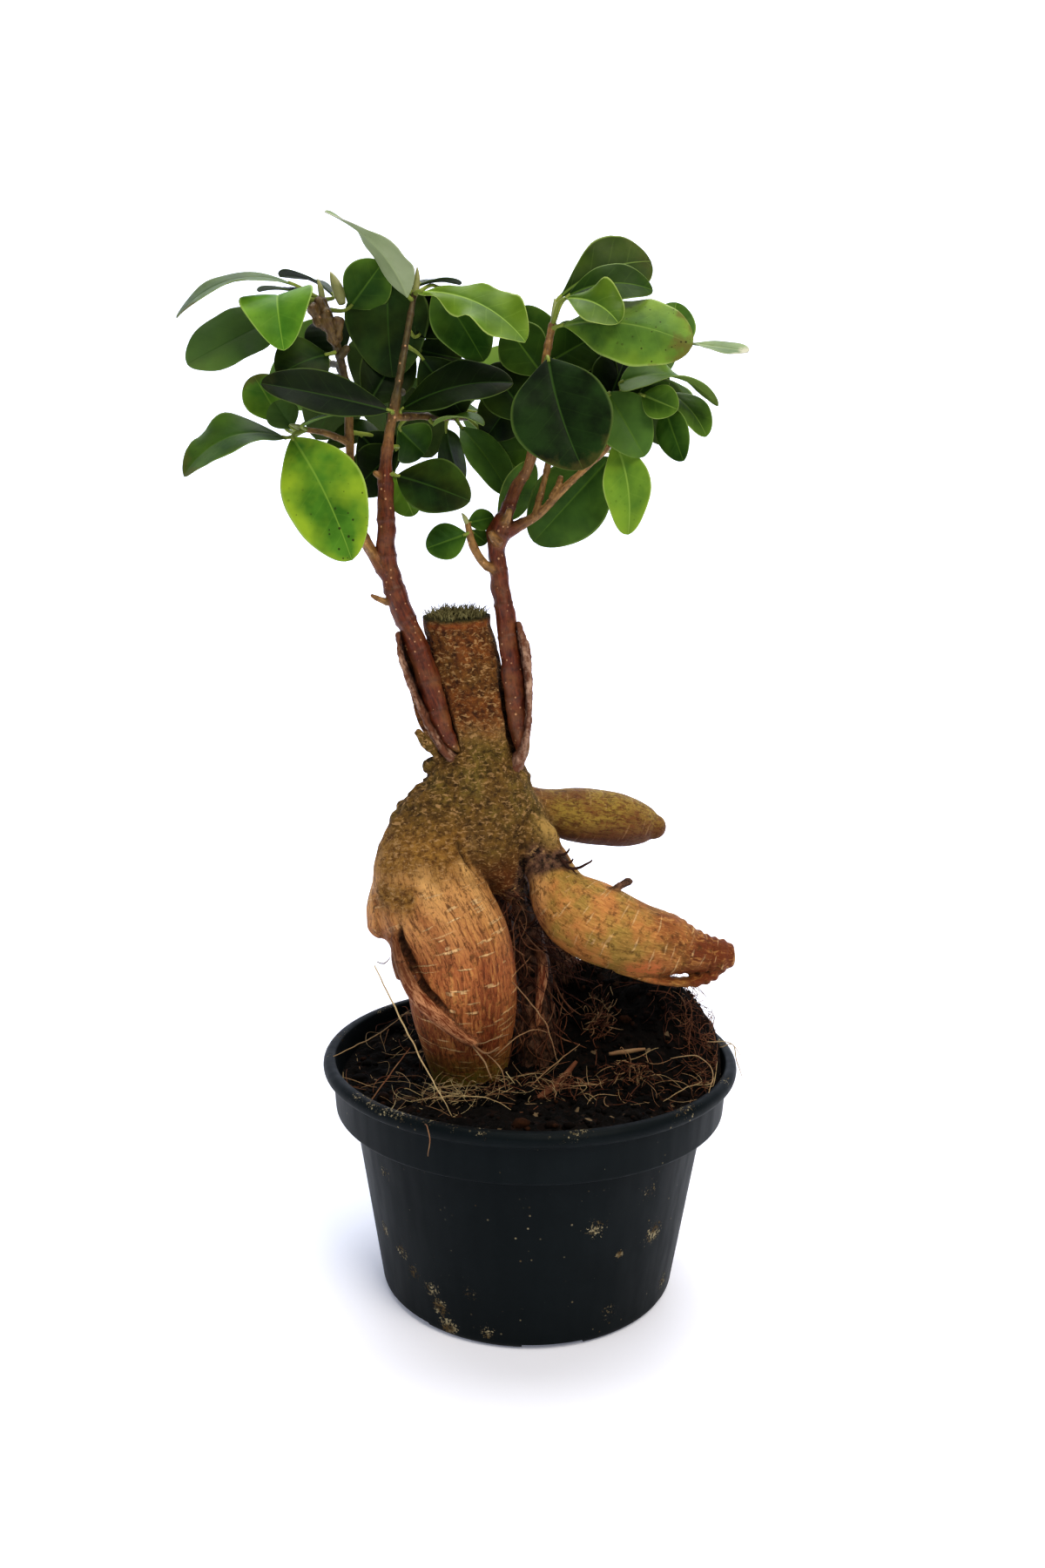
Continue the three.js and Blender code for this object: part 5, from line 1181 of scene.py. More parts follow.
# Leaves that are deeper or paler than the rest of their tone, from -1 to 1: partly their own colour, partly
# painted shade on leaves in the shadow of others and painted light on lit and glossy ones
DEPTH_SHADE_AND_LIGHT = {"right_top": 0.8, "right_top_inner": 0.5, "right_spotted": -0.1, "left_dark": 0.9,
         "middle_dark": 0.9, "crown_wavy": 0.32, "right_large": 0.1, "middle_dull": 0.2,
         "left_back_lime": -0.1, "right_twisted": -0.15, "right_olive": 0.2, "left_ragged": -0.05,
         "left_glossy": -0.34, "left_small": -0.3, "far_left_arch": 0.45, "right_lime": 0.5,
         "right_yellow": -0.1, "crown_large": -0.04, "right_dull": -0.2, "right_behind": 0.4,
         "right_young": 0.05, "rear_far_right": 0.6, "low_right": -0.08, "middle_droop": -0.12,
         "left_top_edge": 0.4, "left_top_small": 0.4}
USUAL_SHAPE = (0, 6, 0, 0, 0.52)  # arch, fold, twist, sweep, and where along it a blade is widest
STALK_RADIUS = 0.5
STALK_SIDES = 8
STALK_RINGS = 9
LEAF_THICKNESS = 0.32
VEIN_SPACING = 2.6
VEIN_SLANT = 0.7
QUILT_DEPTH = 0.09
RIB_GROOVE = 0.26
RIB_RIDGE = 0.42
# Where the points of a blade lie along it and across it, closer together at its ends and margins
ALONG = 0.5 - 0.5 * np.cos(np.linspace(0, math.pi, 31)) * (1 - 0.12 * np.sin(np.linspace(0, math.pi, 31)))
HALF = (0, 0.04, 0.09, 0.17, 0.28, 0.42, 0.57, 0.72, 0.86, 0.95, 1)
ACROSS = np.array([-share for share in HALF[:0:-1]] + list(HALF))
stem_line = np.vstack([smooth_path(rows, 1) for rows in (LEFT_STEM, *LEFT_TWIGS, RIGHT_STEM, *RIGHT_TWIGS)])


def turned_about(vectors, axis, degrees):
    """Vectors turned about an axis, each by its own angle."""
    angle = np.radians(degrees)[..., None]
    return (vectors * np.cos(angle) + np.cross(axis, vectors) * np.sin(angle)
            + axis * (vectors @ axis)[..., None] * (1 - np.cos(angle)))


def stalk_rings(base, entry, upright, width):
    """The rings of a stalk that leaves its twig squarely and bends into the line of the midrib."""
    nearest = stem_line[np.linalg.norm(stem_line[:, :3] - base, axis=1).argmin()]
    outward = unit(base - nearest[:3])
    foot = nearest[:3] + outward * nearest[3] * 0.6
    reach = np.linalg.norm(base - foot)
    bends = [foot, foot + outward * reach * 0.4, base - entry * reach * 0.35, base + entry * 1.2]
    rings = []
    for u in np.linspace(0, 1, STALK_RINGS):
        place = sum(part * point for part, point in zip(
            ((1 - u) ** 3, 3 * u * (1 - u) ** 2, 3 * u ** 2 * (1 - u), u ** 3), bends))
        slope = unit(3 * (1 - u) ** 2 * (bends[1] - bends[0]) + 6 * u * (1 - u) * (bends[2] - bends[1])
                     + 3 * u ** 2 * (bends[3] - bends[2]))
        level = unit(np.cross(slope, upright))
        upright = np.cross(level, slope)
        radius = STALK_RADIUS * (1.35 - 0.8 * u + 0.35 * u ** 2) * min(1, width / 14 + 0.3)
        rings.append([place + radius * (level * math.cos(a) + upright * math.sin(a))
                      for a in np.arange(STALK_SIDES) * 2 * math.pi / STALK_SIDES])
    return rings


def leaf_shape(row, seed):
    """A leaf's points and faces, with what its finish needs to know about each point."""
    name, _, base, tip, width, turn, *shape = row
    arch, fold, twist, sweep, widest = (*shape, *USUAL_SHAPE[len(shape):])
    yellow, brown, specks, ragged, wavy = WEATHERED.get(name, USUAL_WEAR)
    base, tip = np.array(base, float), np.array(tip, float)
    length = np.linalg.norm(tip - base)
    ahead = unit(tip - base)
    face = turned_about(unit(FRONT - ahead * (FRONT @ ahead))[None], ahead, np.array([turn]))[0]
    side = np.cross(ahead, face)
    t, s = np.meshgrid(ALONG, ACROSS, indexing="ij")
    swing = twist * ALONG
    out = turned_about(np.tile(face, (len(ALONG), 1)), ahead, swing)
    over = turned_about(np.tile(side, (len(ALONG), 1)), ahead, swing)
    bow = 4 * ALONG * (1 - ALONG) * length
    middle = base + np.outer(ALONG * length, ahead)
    middle = middle + np.outer(arch * bow, face) + np.outer(sweep * bow, side)

    def wave(scale, number):
        return np.array([[noise.noise(Vector((a * length / scale, number + (5 if b > 0 else 0), seed * 3.1)))
                          for b in ACROSS] for a in ALONG])

    # The outline's half width at each row, a little uneven, and bitten where wind tore it
    outline = np.sin(math.pi * np.clip(ALONG, 0, 1) ** (math.log(0.5) / math.log(widest)))
    outline = outline.clip(0, 1) ** (0.82 - 0.3 * ALONG)
    outline = np.maximum(width / 2 * outline, 0.5 - 0.3 * ALONG)[:, None]
    outline = outline * (1 + 0.05 * wave(9, 1) + ragged * 0.12 * np.minimum(0, wave(2.2, 2)) * t)
    x = s * outline
    # The fold along the midrib, the waves of the margin, the quilting between the veins, and the rib
    steep = math.radians(fold)
    lift = (np.sqrt(x ** 2 + 0.4) - 0.63) * math.sin(steep) + 0.012 * x ** 2 * wave(14, 8)
    lift += wavy * 0.065 * width * wave(7.5, 4) * np.abs(s) ** 2.2 * np.sin(math.pi * t) ** 0.5
    vein = (t * length - VEIN_SLANT * np.abs(x)) / VEIN_SPACING
    quilt = -QUILT_DEPTH * np.cos(2 * math.pi * vein) * np.sin(math.pi * np.abs(s)) * np.sin(math.pi * t)
    rib = np.exp(-(x / 0.7) ** 2) * (1 - 0.75 * t)
    thick = LEAF_THICKNESS / 2 * (1 - 0.6 * np.abs(s) ** 6)
    points, marks = [], []
    for under in (0, 1):
        rise = lift + quilt + (-(thick + RIB_RIDGE * rib) if under else thick - RIB_GROOVE * rib)
        grid = middle[:, None] + x[..., None] * math.cos(steep) * over[:, None]
        grid = grid + rise[..., None] * out[:, None]
        points.append(grid.reshape(-1, 3))
        marks.append(np.stack([x, t * length, np.abs(s), np.full_like(x, under), t, np.zeros_like(x)], -1))
    rows, columns = t.shape
    size = rows * columns
    faces = []
    for i in range(rows - 1):
        for k in range(columns - 1):
            a, b = i * columns + k, (i + 1) * columns + k
            faces.append((a, b, b + 1, a + 1))
            faces.append((size + a, size + a + 1, size + b + 1, size + b))
    # The margin joins the upper and the lower side
    rim = list(range(columns)) + [i * columns + columns - 1 for i in range(1, rows)]
    rim += [(rows - 1) * columns + k for k in range(columns - 2, -1, -1)]
    rim += [i * columns for i in range(rows - 2, 0, -1)]
    faces += [(rim[k], rim[(k + 1) % len(rim)], size + rim[(k + 1) % len(rim)], size + rim[k])
              for k in range(len(rim))]

    first = 2 * size
    for i, ring in enumerate(stalk_rings(base, unit(middle[1] - middle[0]), out[0], width)):
        points.append(np.array(ring))
        marks.append(np.tile([3, 4 * i / (STALK_RINGS - 1), 0.2, 0, 0, 1], (STALK_SIDES, 1)))
        if i:
            a, b = first + (i - 1) * STALK_SIDES, first + i * STALK_SIDES
            faces += [(a + k, b + k, b + (k + 1) % STALK_SIDES, a + (k + 1) % STALK_SIDES)
                      for k in range(STALK_SIDES)]
    last = first + (STALK_RINGS - 1) * STALK_SIDES
    faces.append(tuple(range(first, first + STALK_SIDES)))
    faces.append(tuple(range(last, last + STALK_SIDES))[::-1])
    marks = np.concatenate([mark.reshape(-1, 6) for mark in marks])
    hurt = np.tile((yellow, brown, specks), (len(marks), 1))
    return np.concatenate(points), faces, marks, hurt


# A ficus leaf: thick, hairless and waxed, so it is dark and mirrors the light softly above, and is
# paler and matt below. Young leaves are yellower, and the shaded ones are painted nearly black.
LEAF_FINISHES = {
    # tone: upper, shaded patches, underside, ribs, margin
    "dark": ("#203613", "#0d1908", "#3c4a22", "#36501f", "#566a32"),
    "mid": ("#3c5a1e", "#213c10", "#526a2e", "#547028", "#768c46"),
    "bright": ("#558028", "#38601a", "#708c40", "#7a983c", "#96ac5a"),
    "lime": ("#6a8a2c", "#4c6c20", "#86984a", "#8ca64a", "#a8b868"),
    "olive": ("#547228", "#35501a", "#6e7e40", "#728a3e", "#92a45a"),
    "pale": ("#788a58", "#566c3c", "#98a27c", "#9ca87a", "#b8be9a"),
}


def leaf_finish(tone, upper_hex, shade_hex, under_hex, rib_hex, margin_hex):
    """One tone's finish: clouded green, paler below, with ribs, a pale margin and marks of wear, painted
    shade along its midrib, and a leaf's own depth, which also paints shade on shaded leaves and light on lit
    ones.
    """
    dead_hex = "#aeae9a" if tone == "pale" else "#5c4f28"
    leaf, wire = finish("waxed_ficus_leaf_" + tone, IOR=1.45, Specular_IOR_Level=0.08)
    place = node(leaf, "TexCoord", out="Object")
    blade, kind, hurt = (node(leaf, "Attribute", attribute_name=name, out="Vector")
                         for name in ("blade", "kind", "hurt"))
    x, y, share = node(leaf, "SeparateXYZ", {0: blade}).node.outputs
    under, reach, stalk = node(leaf, "SeparateXYZ", {0: kind}).node.outputs
    yellow, brown, specks = node(leaf, "SeparateXYZ", {0: hurt}).node.outputs
    clouds, fine, gold, dead = (
        node(leaf, "TexNoise", {"Vector": place, "Scale": pitch(size), "Detail": detail, "Roughness": rough})
        for size, detail, rough in [(7.69, 4, 0.5), (0.909, 3, 0.5), (11.76, 3, 0.5), (6.25, 5, 0.65)])
    # A deep leaf is mixed towards near black, partly its own deep green and partly painted shade; a pale one
    # towards light green, partly its own tone and partly painted light.
    deep = node(leaf, "Attribute", attribute_name="deep", out="Fac")
    # The blade is painted darker towards its midrib: painted shade in the valley of its fold.
    patchy, midrib_shade, deeper_and_shaded, paler_and_lit, fade, margin, edge, tipward = (
        node(leaf, "MapRange", {"Value": source, "From Min": start, "From Max": full, "To Max": most})
        for source, start, full, most in [
            (clouds, 0.36, 0.62, 1), (share, 0.85, 0.15, 0.4), (deep, 0, 1, 0.85), (deep, 0, -1, 0.7),
            (share, 0.95, 0.6, 1), (share, 0.93, 0.985, 0.65), (share, 0.7, 1, 0.14),
            (reach, 0.75, 1, 0.36)])
    gold = node(leaf, "Math", {0: share, 1: 0.22, 2: gold}, operation="MULTIPLY_ADD")
    gold = node(leaf, "MapRange", {"Value": gold, "From Min": 0.5, "From Max": 0.78})
    gold = node(leaf, "Math", {0: gold, 1: yellow}, operation="MULTIPLY")
    below = node(leaf, "MixRGB", {"Fac": patchy, "Color1": under_hex, "Color2": upper_hex})
    below = node(leaf, "MixRGB", {"Fac": 0.6, "Color1": below, "Color2": under_hex})
    away = node(leaf, "Math", {0: x}, operation="ABSOLUTE")
    slant = node(leaf, "Math", {0: away, 1: -VEIN_SLANT, 2: y}, operation="MULTIPLY_ADD")
    slant = node(leaf, "Math", {0: clouds, 1: 1.5, 2: slant}, operation="MULTIPLY_ADD")
    phase = node(leaf, "Math", {0: slant, 1: VEIN_SPACING}, operation="DIVIDE")
    phase = node(leaf, "Math", {0: phase, 1: 1}, operation="PINGPONG")
    vein = node(leaf, "MapRange", {"Value": phase, "From Min": 0.1, "From Max": 0.01, "To Max": 0.1})
    vein = node(leaf, "Math", {0: vein, 1: fade}, operation="MULTIPLY")
    slim = node(leaf, "MapRange", {"Value": reach, "To Min": 0.42, "To Max": 0.12})
    rib = node(leaf, "Math", {0: away, 1: slim}, operation="DIVIDE")
    rib = node(leaf, "MapRange", {"Value": rib, "From Min": 1.1, "From Max": 0.5, "To Max": 0.6})
    lines = node(leaf, "Math", {0: vein, 1: rib}, operation="MAXIMUM")
    edge = node(leaf, "Math", {0: edge, 1: tipward}, operation="ADD")
    dead = node(leaf, "Math", {0: dead, 1: edge}, operation="ADD")
    dead = node(leaf, "MapRange", {"Value": dead, "From Min": 0.7, "From Max": 0.86})
    dead = node(leaf, "Math", {0: dead, 1: brown}, operation="MULTIPLY")
    dot = node(leaf, "TexVoronoi", {"Vector": place, "Scale": pitch(1.22)}).node.outputs
    dot_size = node(leaf, "SeparateColor", {0: dot["Color"]}, out="Red")
    dot_size = node(leaf, "MapRange", {"Value": dot_size, "From Min": 0.5, "To Max": 0.34})
    dot = node(leaf, "Math", {0: dot_size, 1: dot["Distance"]}, operation="SUBTRACT")
    dot = node(leaf, "MapRange", {"Value": dot, "From Max": 0.08})
    where = node(leaf, "MapRange", {"Value": reach, "From Min": 0.35, "From Max": 0.75, "To Min": 0.15})
    dot = node(leaf, "Math", {0: dot, 1: specks}, operation="MULTIPLY")
    dot = node(leaf, "Math", {0: dot, 1: where}, operation="MULTIPLY")
    green_stalk = node(leaf, "MixRGB", {"Fac": clouds, "Color1": "#5d6a2c", "Color2": "#8f9a4a"})
    colour = upper_hex
    for amount, layer in [(patchy, shade_hex), (midrib_shade, shade_hex), (gold, "#88a02c"), (under, below),
                          (deeper_and_shaded, "#081406"), (paler_and_lit, "#8cb462"), (lines, rib_hex), (margin, margin_hex),
                          (dead, dead_hex), (dot, "#2c2a12"), (stalk, green_stalk)]:
        colour = node(leaf, "MixRGB", {"Fac": amount, "Color1": colour, "Color2": layer})
    wax = node(leaf, "MapRange", {"Value": fine, "To Min": 0.34, "To Max": 0.5})
    wax = node(leaf, "Math", {0: under, 1: 0.2, 2: wax}, operation="MULTIPLY_ADD")
    wax = node(leaf, "Math", {0: dead, 1: 0.25, 2: wax}, operation="MULTIPLY_ADD")
    relief = None
    for height, strength, depth in [(vein, 0.5, -0.12), (clouds, 0.35, 0.6), (fine, 0.25, 0.08)]:
        relief = node(leaf, "Bump", {"Height": height, "Strength": strength, "Distance": depth * MM,
                                     "Normal": relief})
    wire(Base_Color=colour, Roughness=wax, Normal=relief)
    return leaf


leaf_materials = {tone: leaf_finish(tone, *colours) for tone, colours in LEAF_FINISHES.items()}
for seed, row in enumerate(LEAVES + REAR_LEAVES):
    name, tone = row[:2]
    points, faces, marks, hurt = leaf_shape(row, seed)
    nodes = ("leaf_" + name,) if row in LEAVES else ()
    leaf = rooted(name + "_leaf", points, faces, leaf_materials[tone], "leaf_" + tone, *nodes)
    # The leaves in the crown's core are painted darker, as painted shade.
    deep = DEPTH_SHADE_AND_LIGHT.get(name, 0.5 if name[:4] == "core" else 0)
    store(leaf, blade=marks[:, :3], kind=marks[:, 3:], hurt=hurt, deep=np.full(len(points), deep))

# Loose crumbs of the mix: peat clods and composted bark, 1 to 4 mm across. They lie where they
# fell as the root ball was lifted, most of them on the mound.
CRUMB_COUNT = 1150
CRUMB_FOLD = 26  # every so many crumbs, one is a larger clod
CRUMB_SPREAD = 54
CRUMB_LIMIT = 53.5
litter = random.Random(5)
points, faces, tints = [], [], []
for index in range(CRUMB_COUNT):
    big = index % CRUMB_FOLD == 0
    if litter.random() < 0.5:
        x, y = litter.gauss(26, 15), litter.gauss(8, 22)
    else:
        turn, reach = litter.uniform(0, 2 * math.pi), CRUMB_SPREAD * math.sqrt(litter.random())
        x, y = reach * math.cos(turn), reach * math.sin(turn)
    if math.hypot(x, y) > CRUMB_LIMIT:
        continue
    size = litter.uniform(1.5, 2.8) if big else litter.uniform(0.4, 1.15)
    lump = bmesh.new()
    bmesh.ops.create_icosphere(lump, subdivisions=2 if big else 1, radius=1)
    shape = np.array([vertex.co for vertex in lump.verts])
    edges = [tuple(vertex.index for vertex in face.verts) for face in lump.faces]
    lump.free()
    shape = shape * (1 + 0.28 * ripple_at(shape, 0.8, index))[:, None] * (1, litter.uniform(0.6, 1), 0.62)
    turn = Matrix.Rotation(litter.uniform(0, math.pi), 3, "Z")
    turn = turn @ Matrix.Rotation(litter.gauss(0, 0.4), 3, "X")
    place = np.array([x, y, crumbs_height(x, y) + 0.3 * size])
    faces += [tuple(corner + len(points) for corner in face) for face in edges]
    points += list(shape @ np.array(turn) * size + place)
    tints += [litter.random()] * len(shape)

# Crumbs of peat and bark: dead matt, black where they are peat and red-brown where they are bark
crumb_mix, wire = finish("peat_and_bark_crumbs", Roughness=0.93, IOR=1.4, Specular_IOR_Level=0.15)
tint = node(crumb_mix, "Attribute", attribute_name="tint", out="Fac")
place = node(crumb_mix, "TexCoord", out="Object")
grains = node(crumb_mix, "TexNoise", {"Vector": place, "Scale": pitch(1.111), "Detail": 4})
peat_or_bark = node(crumb_mix, "ValToRGB", {"Fac": tint},
                    stops=[(0.55, "#0b0806"), (0.8, "#23150e"), (1, "#38200f")])
dark = node(crumb_mix, "MapRange", {"Value": grains, "From Min": 0.35, "From Max": 0.6, "To Min": 0.5})
colour = node(crumb_mix, "MixRGB", {"Fac": dark, "Color1": "#080605", "Color2": peat_or_bark})
grit = node(crumb_mix, "Bump", {"Height": grains, "Strength": 0.7, "Distance": 0.3 * MM})
wire(Base_Color=colour, Normal=grit)
store(rooted("soil_crumbs", points, faces, crumb_mix, "potting_mix"), tint=tints)

# Dead fine roots and straw: dry threads that the root ball left on the soil, in a tangle in front of
# the leg, in a red-brown mat on the mound, and hanging between the roots
THREAD_LIMIT = 54.5
FIBRE_LIMIT = 53

# Dry root fibre: woody and nearly matt, from dark red-brown where it is damp to a pale straw
dry, wire = finish("dry_root_fibre", Roughness=0.8, IOR=1.4, Specular_IOR_Level=0.25)
tint = node(dry, "Attribute", attribute_name="tint", out="Fac")
place = node(dry, "TexCoord", out="Object")
patch = node(dry, "TexNoise", {"Vector": place, "Scale": pitch(2.5), "Detail": 3})
patch = node(dry, "Math", {0: patch, 1: 0.5}, operation="SUBTRACT")
tint = node(dry, "Math", {0: patch, 1: 0.35, 2: tint}, operation="MULTIPLY_ADD")
fibre_colour = node(dry, "ValToRGB", {"Fac": tint},
                    stops=[(0, "#1c110b"), (0.25, "#45271a"), (0.45, "#6e4630"), (0.65, "#8d7354"),
                           (0.85, "#ae9a72"), (1, "#cdbb8e")])
fluff = node(dry, "Bump", {"Height": patch, "Strength": 0.4, "Distance": 0.1 * MM})
wire(Base_Color=fibre_colour, Normal=fluff)


def thread(start, heading, length, wander, growth, lift=None):
    """The path of a curly fibre from a start. One with a lift lies on the soil in humps of up to that
    height, and any other only stays above it."""
    count = max(6, int(length / 1.6))
    place = np.array(start, float)
    path = [place.copy()]
    direction = unit(np.array(heading, float))
    turn = np.array([growth.gauss(0, 1) for _ in range(3)])
    for _ in range(count):
        turn = 0.75 * turn + 0.5 * np.array([growth.gauss(0, 1) for _ in range(3)])
        direction = unit(direction + wander * turn)
        place = place + direction * length / count
        if lift is not None:
            reach = math.hypot(place[0], place[1])
            if reach > THREAD_LIMIT:
                place[:2] *= THREAD_LIMIT / reach
            floor = soil_height(place[0], place[1])
            place[2] = max(place[2], floor + 0.4)
            if place[2] > floor + 0.4 + lift:
                place[2] += 0.55 * (floor + 0.4 + lift - place[2])
        path.append(place.copy())
    path = np.array(path)
    path[1:-1] = (path[:-2] + 2 * path[1:-1] + path[2:]) / 4
    if lift is None:
        path[:, 2] = np.maximum(path[:, 2], [soil_height(x, y) + 0.3 for x, y in path[:, :2]])
    return path


def tapered(path, radius):
    """A thread's radius at each point, thinner at its ends."""
    t = np.linspace(0, 1, len(path))
    return radius * (0.45 + 0.55 * np.sin(math.pi * (0.15 + 0.8 * t)))


FIBRE_BEDS = [
    # middle x, y, spread x, y, count, length, radius, darkest and palest tint, lift
    (-22, -29, 6.5, 4.5, 100, (4, 18), (0.05, 0.13), (0.5, 1), 5),
    (-3, -24, 8, 6, 70, (4, 15), (0.05, 0.14), (0.35, 0.95), 4.5),
    (28, -24, 13, 7, 60, (5, 16), (0.07, 0.16), (0.25, 0.8), 3),
    (48, -4, 5, 10, 170, (4, 11), (0.07, 0.14), (0.2, 0.55), 4.5),
    (44, 8, 7, 8, 80, (4, 11), (0.07, 0.14), (0.15, 0.5), 4),
    (20.8, -1, 2, 2.4, 110, (3, 7), (0.09, 0.2), (0.2, 0.75), 8),
    (27, -17, 3.2, 2.2, 90, (3, 8), (0.09, 0.2), (0.2, 0.7), 6),
    (9, -23, 3, 2.4, 50, (3, 8), (0.09, 0.2), (0.25, 0.6), 4.5),
    (-43, -8, 7, 12, 22, (8, 22), (0.08, 0.15), (0.35, 0.8), 2.4),
    (30, 24, 16, 14, 50, (5, 18), (0.08, 0.16), (0.05, 0.4), 2.6),
    (-16, 34, 22, 12, 60, (6, 22), (0.08, 0.16), (0.2, 0.8), 2.6),
]
growth = random.Random(23)
lines = []
for cx, cy, sx, sy, count, length, radius, tones, lift in FIBRE_BEDS:
    for _ in range(count):
        x, y = growth.gauss(cx, sx), growth.gauss(cy, sy)
        reach = math.hypot(x, y)
        if reach > FIBRE_LIMIT:
            x, y = x * FIBRE_LIMIT / reach, y * FIBRE_LIMIT / reach
        start = (x, y, soil_height(x, y) + growth.uniform(0.2, lift))
        heading = (growth.gauss(0, 1), growth.gauss(0, 1), growth.gauss(0, 0.35))
        path = thread(start, heading, growth.uniform(*length), 0.34, growth, lift)
        lines.append((path, tapered(path, growth.uniform(*radius)), growth.uniform(*tones)))
strands("dead_roots", lines, 4, dry, "dry_fibre")

# Fine roots that hang in the dark between the leg and the right tuber, and behind it: root hairs
# that dried when the soil was washed off them. They grow out of the fibrous roots.
HANGING_ROOTS = 230
REAR_ROOTS = 150
lines = []
for _ in range(HANGING_ROOTS):
    t = growth.random()
    middle = np.array([-5 + 8 * t, 1 - 3 * t, 120 - 46 * t])
    turn = growth.uniform(math.pi, 2 * math.pi)
    reach = growth.uniform(3.5, 7.5) + 2 * t
    start = middle + np.array([math.cos(turn) * reach, math.sin(turn) * reach, 0])
    heading = (growth.gauss(0, 0.5), growth.gauss(0, 0.3), -1)
    path = thread(start, heading, growth.uniform(6, 20), 0.22, growth)
    lines.append((path, tapered(path, growth.uniform(0.1, 0.26)), growth.uniform(0.05, 0.55)))
for _ in range(REAR_ROOTS):
    x, y = growth.gauss(9, 3.6), growth.gauss(21, 5)
    start = (x, y, 101 - 0.5 * abs(x - 4) - growth.uniform(0, 8))
    heading = (growth.gauss(0.2, 0.5), growth.gauss(0, 0.4), -1)
    path = thread(start, heading, growth.uniform(6, 18), 0.3, growth)
    lines.append((path, tapered(path, growth.uniform(0.12, 0.3)), growth.uniform(0, 0.35)))
strands("hanging_fine_roots", lines, 4, dry, "dry_fibre")

# Straws and root ends: stiff dry stalks and the broken ends of roots, thicker than the fibres. They
# lie on the soil or lean on the leg, and a few hang over the rim.
STRAWS = [
    # points, radius, tint
    ([(-42.2, -28, 101.3), (-35.8, -33, 90.5), (-28.5, -38, 78.6), (-20.2, -46, 67.1)], 0.24, 0.8),
    ([(-41.5, -28, 102.3), (-39.6, -28, 101.8), (-38, -27, 103.3)], 0.18, 0.3),
    ([(-56, -12, 69.5), (-45.5, -2, 72), (-36.1, 4, 77.6)], 0.2, 0.7),
    ([(-43.2, -37, 65.8), (-37.6, -30, 71.9), (-33, -24, 76.9)], 0.2, 0.5),
    ([(-8.1, -17, 96.2), (-2.4, -20, 91.5), (3.6, -22, 84.3), (5.3, -24, 80.6), (7.3, -26, 74.2)], 0.2, 0.6),
    ([(-16.5, -25, 79), (-12, -28, 77), (-8.4, -29, 79.4)], 0.34, 0.55),
    ([(-16, -25, 78.4), (-12.6, -28.6, 75), (-10.4, -31, 71)], 0.28, 0.62),
    ([(-15, -25, 78.4), (-11, -27, 80.4), (-6, -27.5, 82.4)], 0.18, 0.6),
    ([(-12, -28, 77), (-8, -31, 74), (-6.6, -33, 69)], 0.2, 0.6),
    ([(-26.4, -54.5, 68.6), (-25.3, -58.6, 69.4), (-24.7, -61, 66.7), (-25.1, -61.2, 63.4)], 0.17, 0.55),
    ([(-10, -28, 76), (-5, -26, 80), (0, -24, 82.4), (5, -23, 81.4)], 0.18, 0.6),
    ([(38.3, -24, 74.8), (45.5, -24, 75.6), (49.2, -28, 72.8), (47.4, -33, 67.6)], 0.16, 0.7),
    ([(22.5, -10, 70.5), (33, -9, 71.8)], 0.75, 0.62),
    ([(1, -28, 63.6), (7.6, -21, 66), (13, -14, 69.6)], 1.1, 0.42),
    ([(-1, -27, 66.5), (6, -20, 70.5), (14, -13, 74.5)], 0.2, 0.62),
    ([(-32, -32, 65), (-23, -35, 67.5), (-12, -34, 67), (-4, -38, 65)], 0.18, 0.8),
    ([(36, -28, 64), (42, -25, 66.5), (48, -18, 66), (46, -12, 67)], 0.16, 0.75),
    ([(7, -9, 128), (10, -12, 125.2), (13, -12.5, 125.4), (16.4, -13, 127.6)], 0.5, 0.1),
    ([(10.4, -12, 125.4), (12.2, -12.4, 123.4)], 0.24, 0.12),
    ([(6.6, -9, 128), (8.8, -10, 128.6), (10.2, -10, 130.2)], 0.42, 0.1),
    ([(8, -10, 126.4), (10.4, -11, 126.4), (11.2, -11, 127.6)], 0.4, 0.12),
    ([(54, -10, 73), (57.5, -12, 74.5), (58.5, -14, 70), (60, -15, 66)], 0.16, 0.75),
    ([(50, -14, 76), (56, -16, 76.5), (59, -17, 73)], 0.14, 0.8),
]
lines = []
for rows, radius, tint in STRAWS:
    path = smooth_path([(*row, 1) for row in rows], 0.9)[:, :3]
    path[1:-1] += 0.25 * np.array([[noise.noise(Vector(point) / 3 + Vector((k * 9, 4, 2))) for k in range(3)]
                                   for point in path[1:-1]])
    lines.append((path, tapered(path, radius), tint))
strands("straws_and_root_ends", lines, 6, dry, "dry_fibre")

# Buds: every growing tip ends in a rolled, pointed sheath of thin skin that covers the next leaf.
# Each is grown to the end of its twig.
BUDS = [
    # foot, tip, radius
    ((-33.4, -7, 277), (-32.6, -8, 284.5), 0.85), ((-57.5, -8, 275), (-58.6, -9, 281), 0.8),
    ((-52.4, -8, 275), (-55.4, -8, 283), 1.5), ((-62, -10, 242.5), (-66, -12, 243.5), 0.7),
    ((3, -9, 269), (3.6, -9, 277), 0.8), ((31, -5, 265), (34, -6, 270), 0.7),
    ((-18.9, -8, 218), (-20.5, -9, 221.5), 0.7), ((31, -8, 252.5), (35, -10, 253.5), 0.6),
    ((-17, 20, 252), (-14, 23, 254.5), 0.6), ((-41, 12, 260), (-42.5, 15, 264.5), 0.6),
    ((-58, 8, 263), (-60.5, 11, 265.5), 0.6), ((9, 14, 262), (10.5, 16.5, 267), 0.6),
]
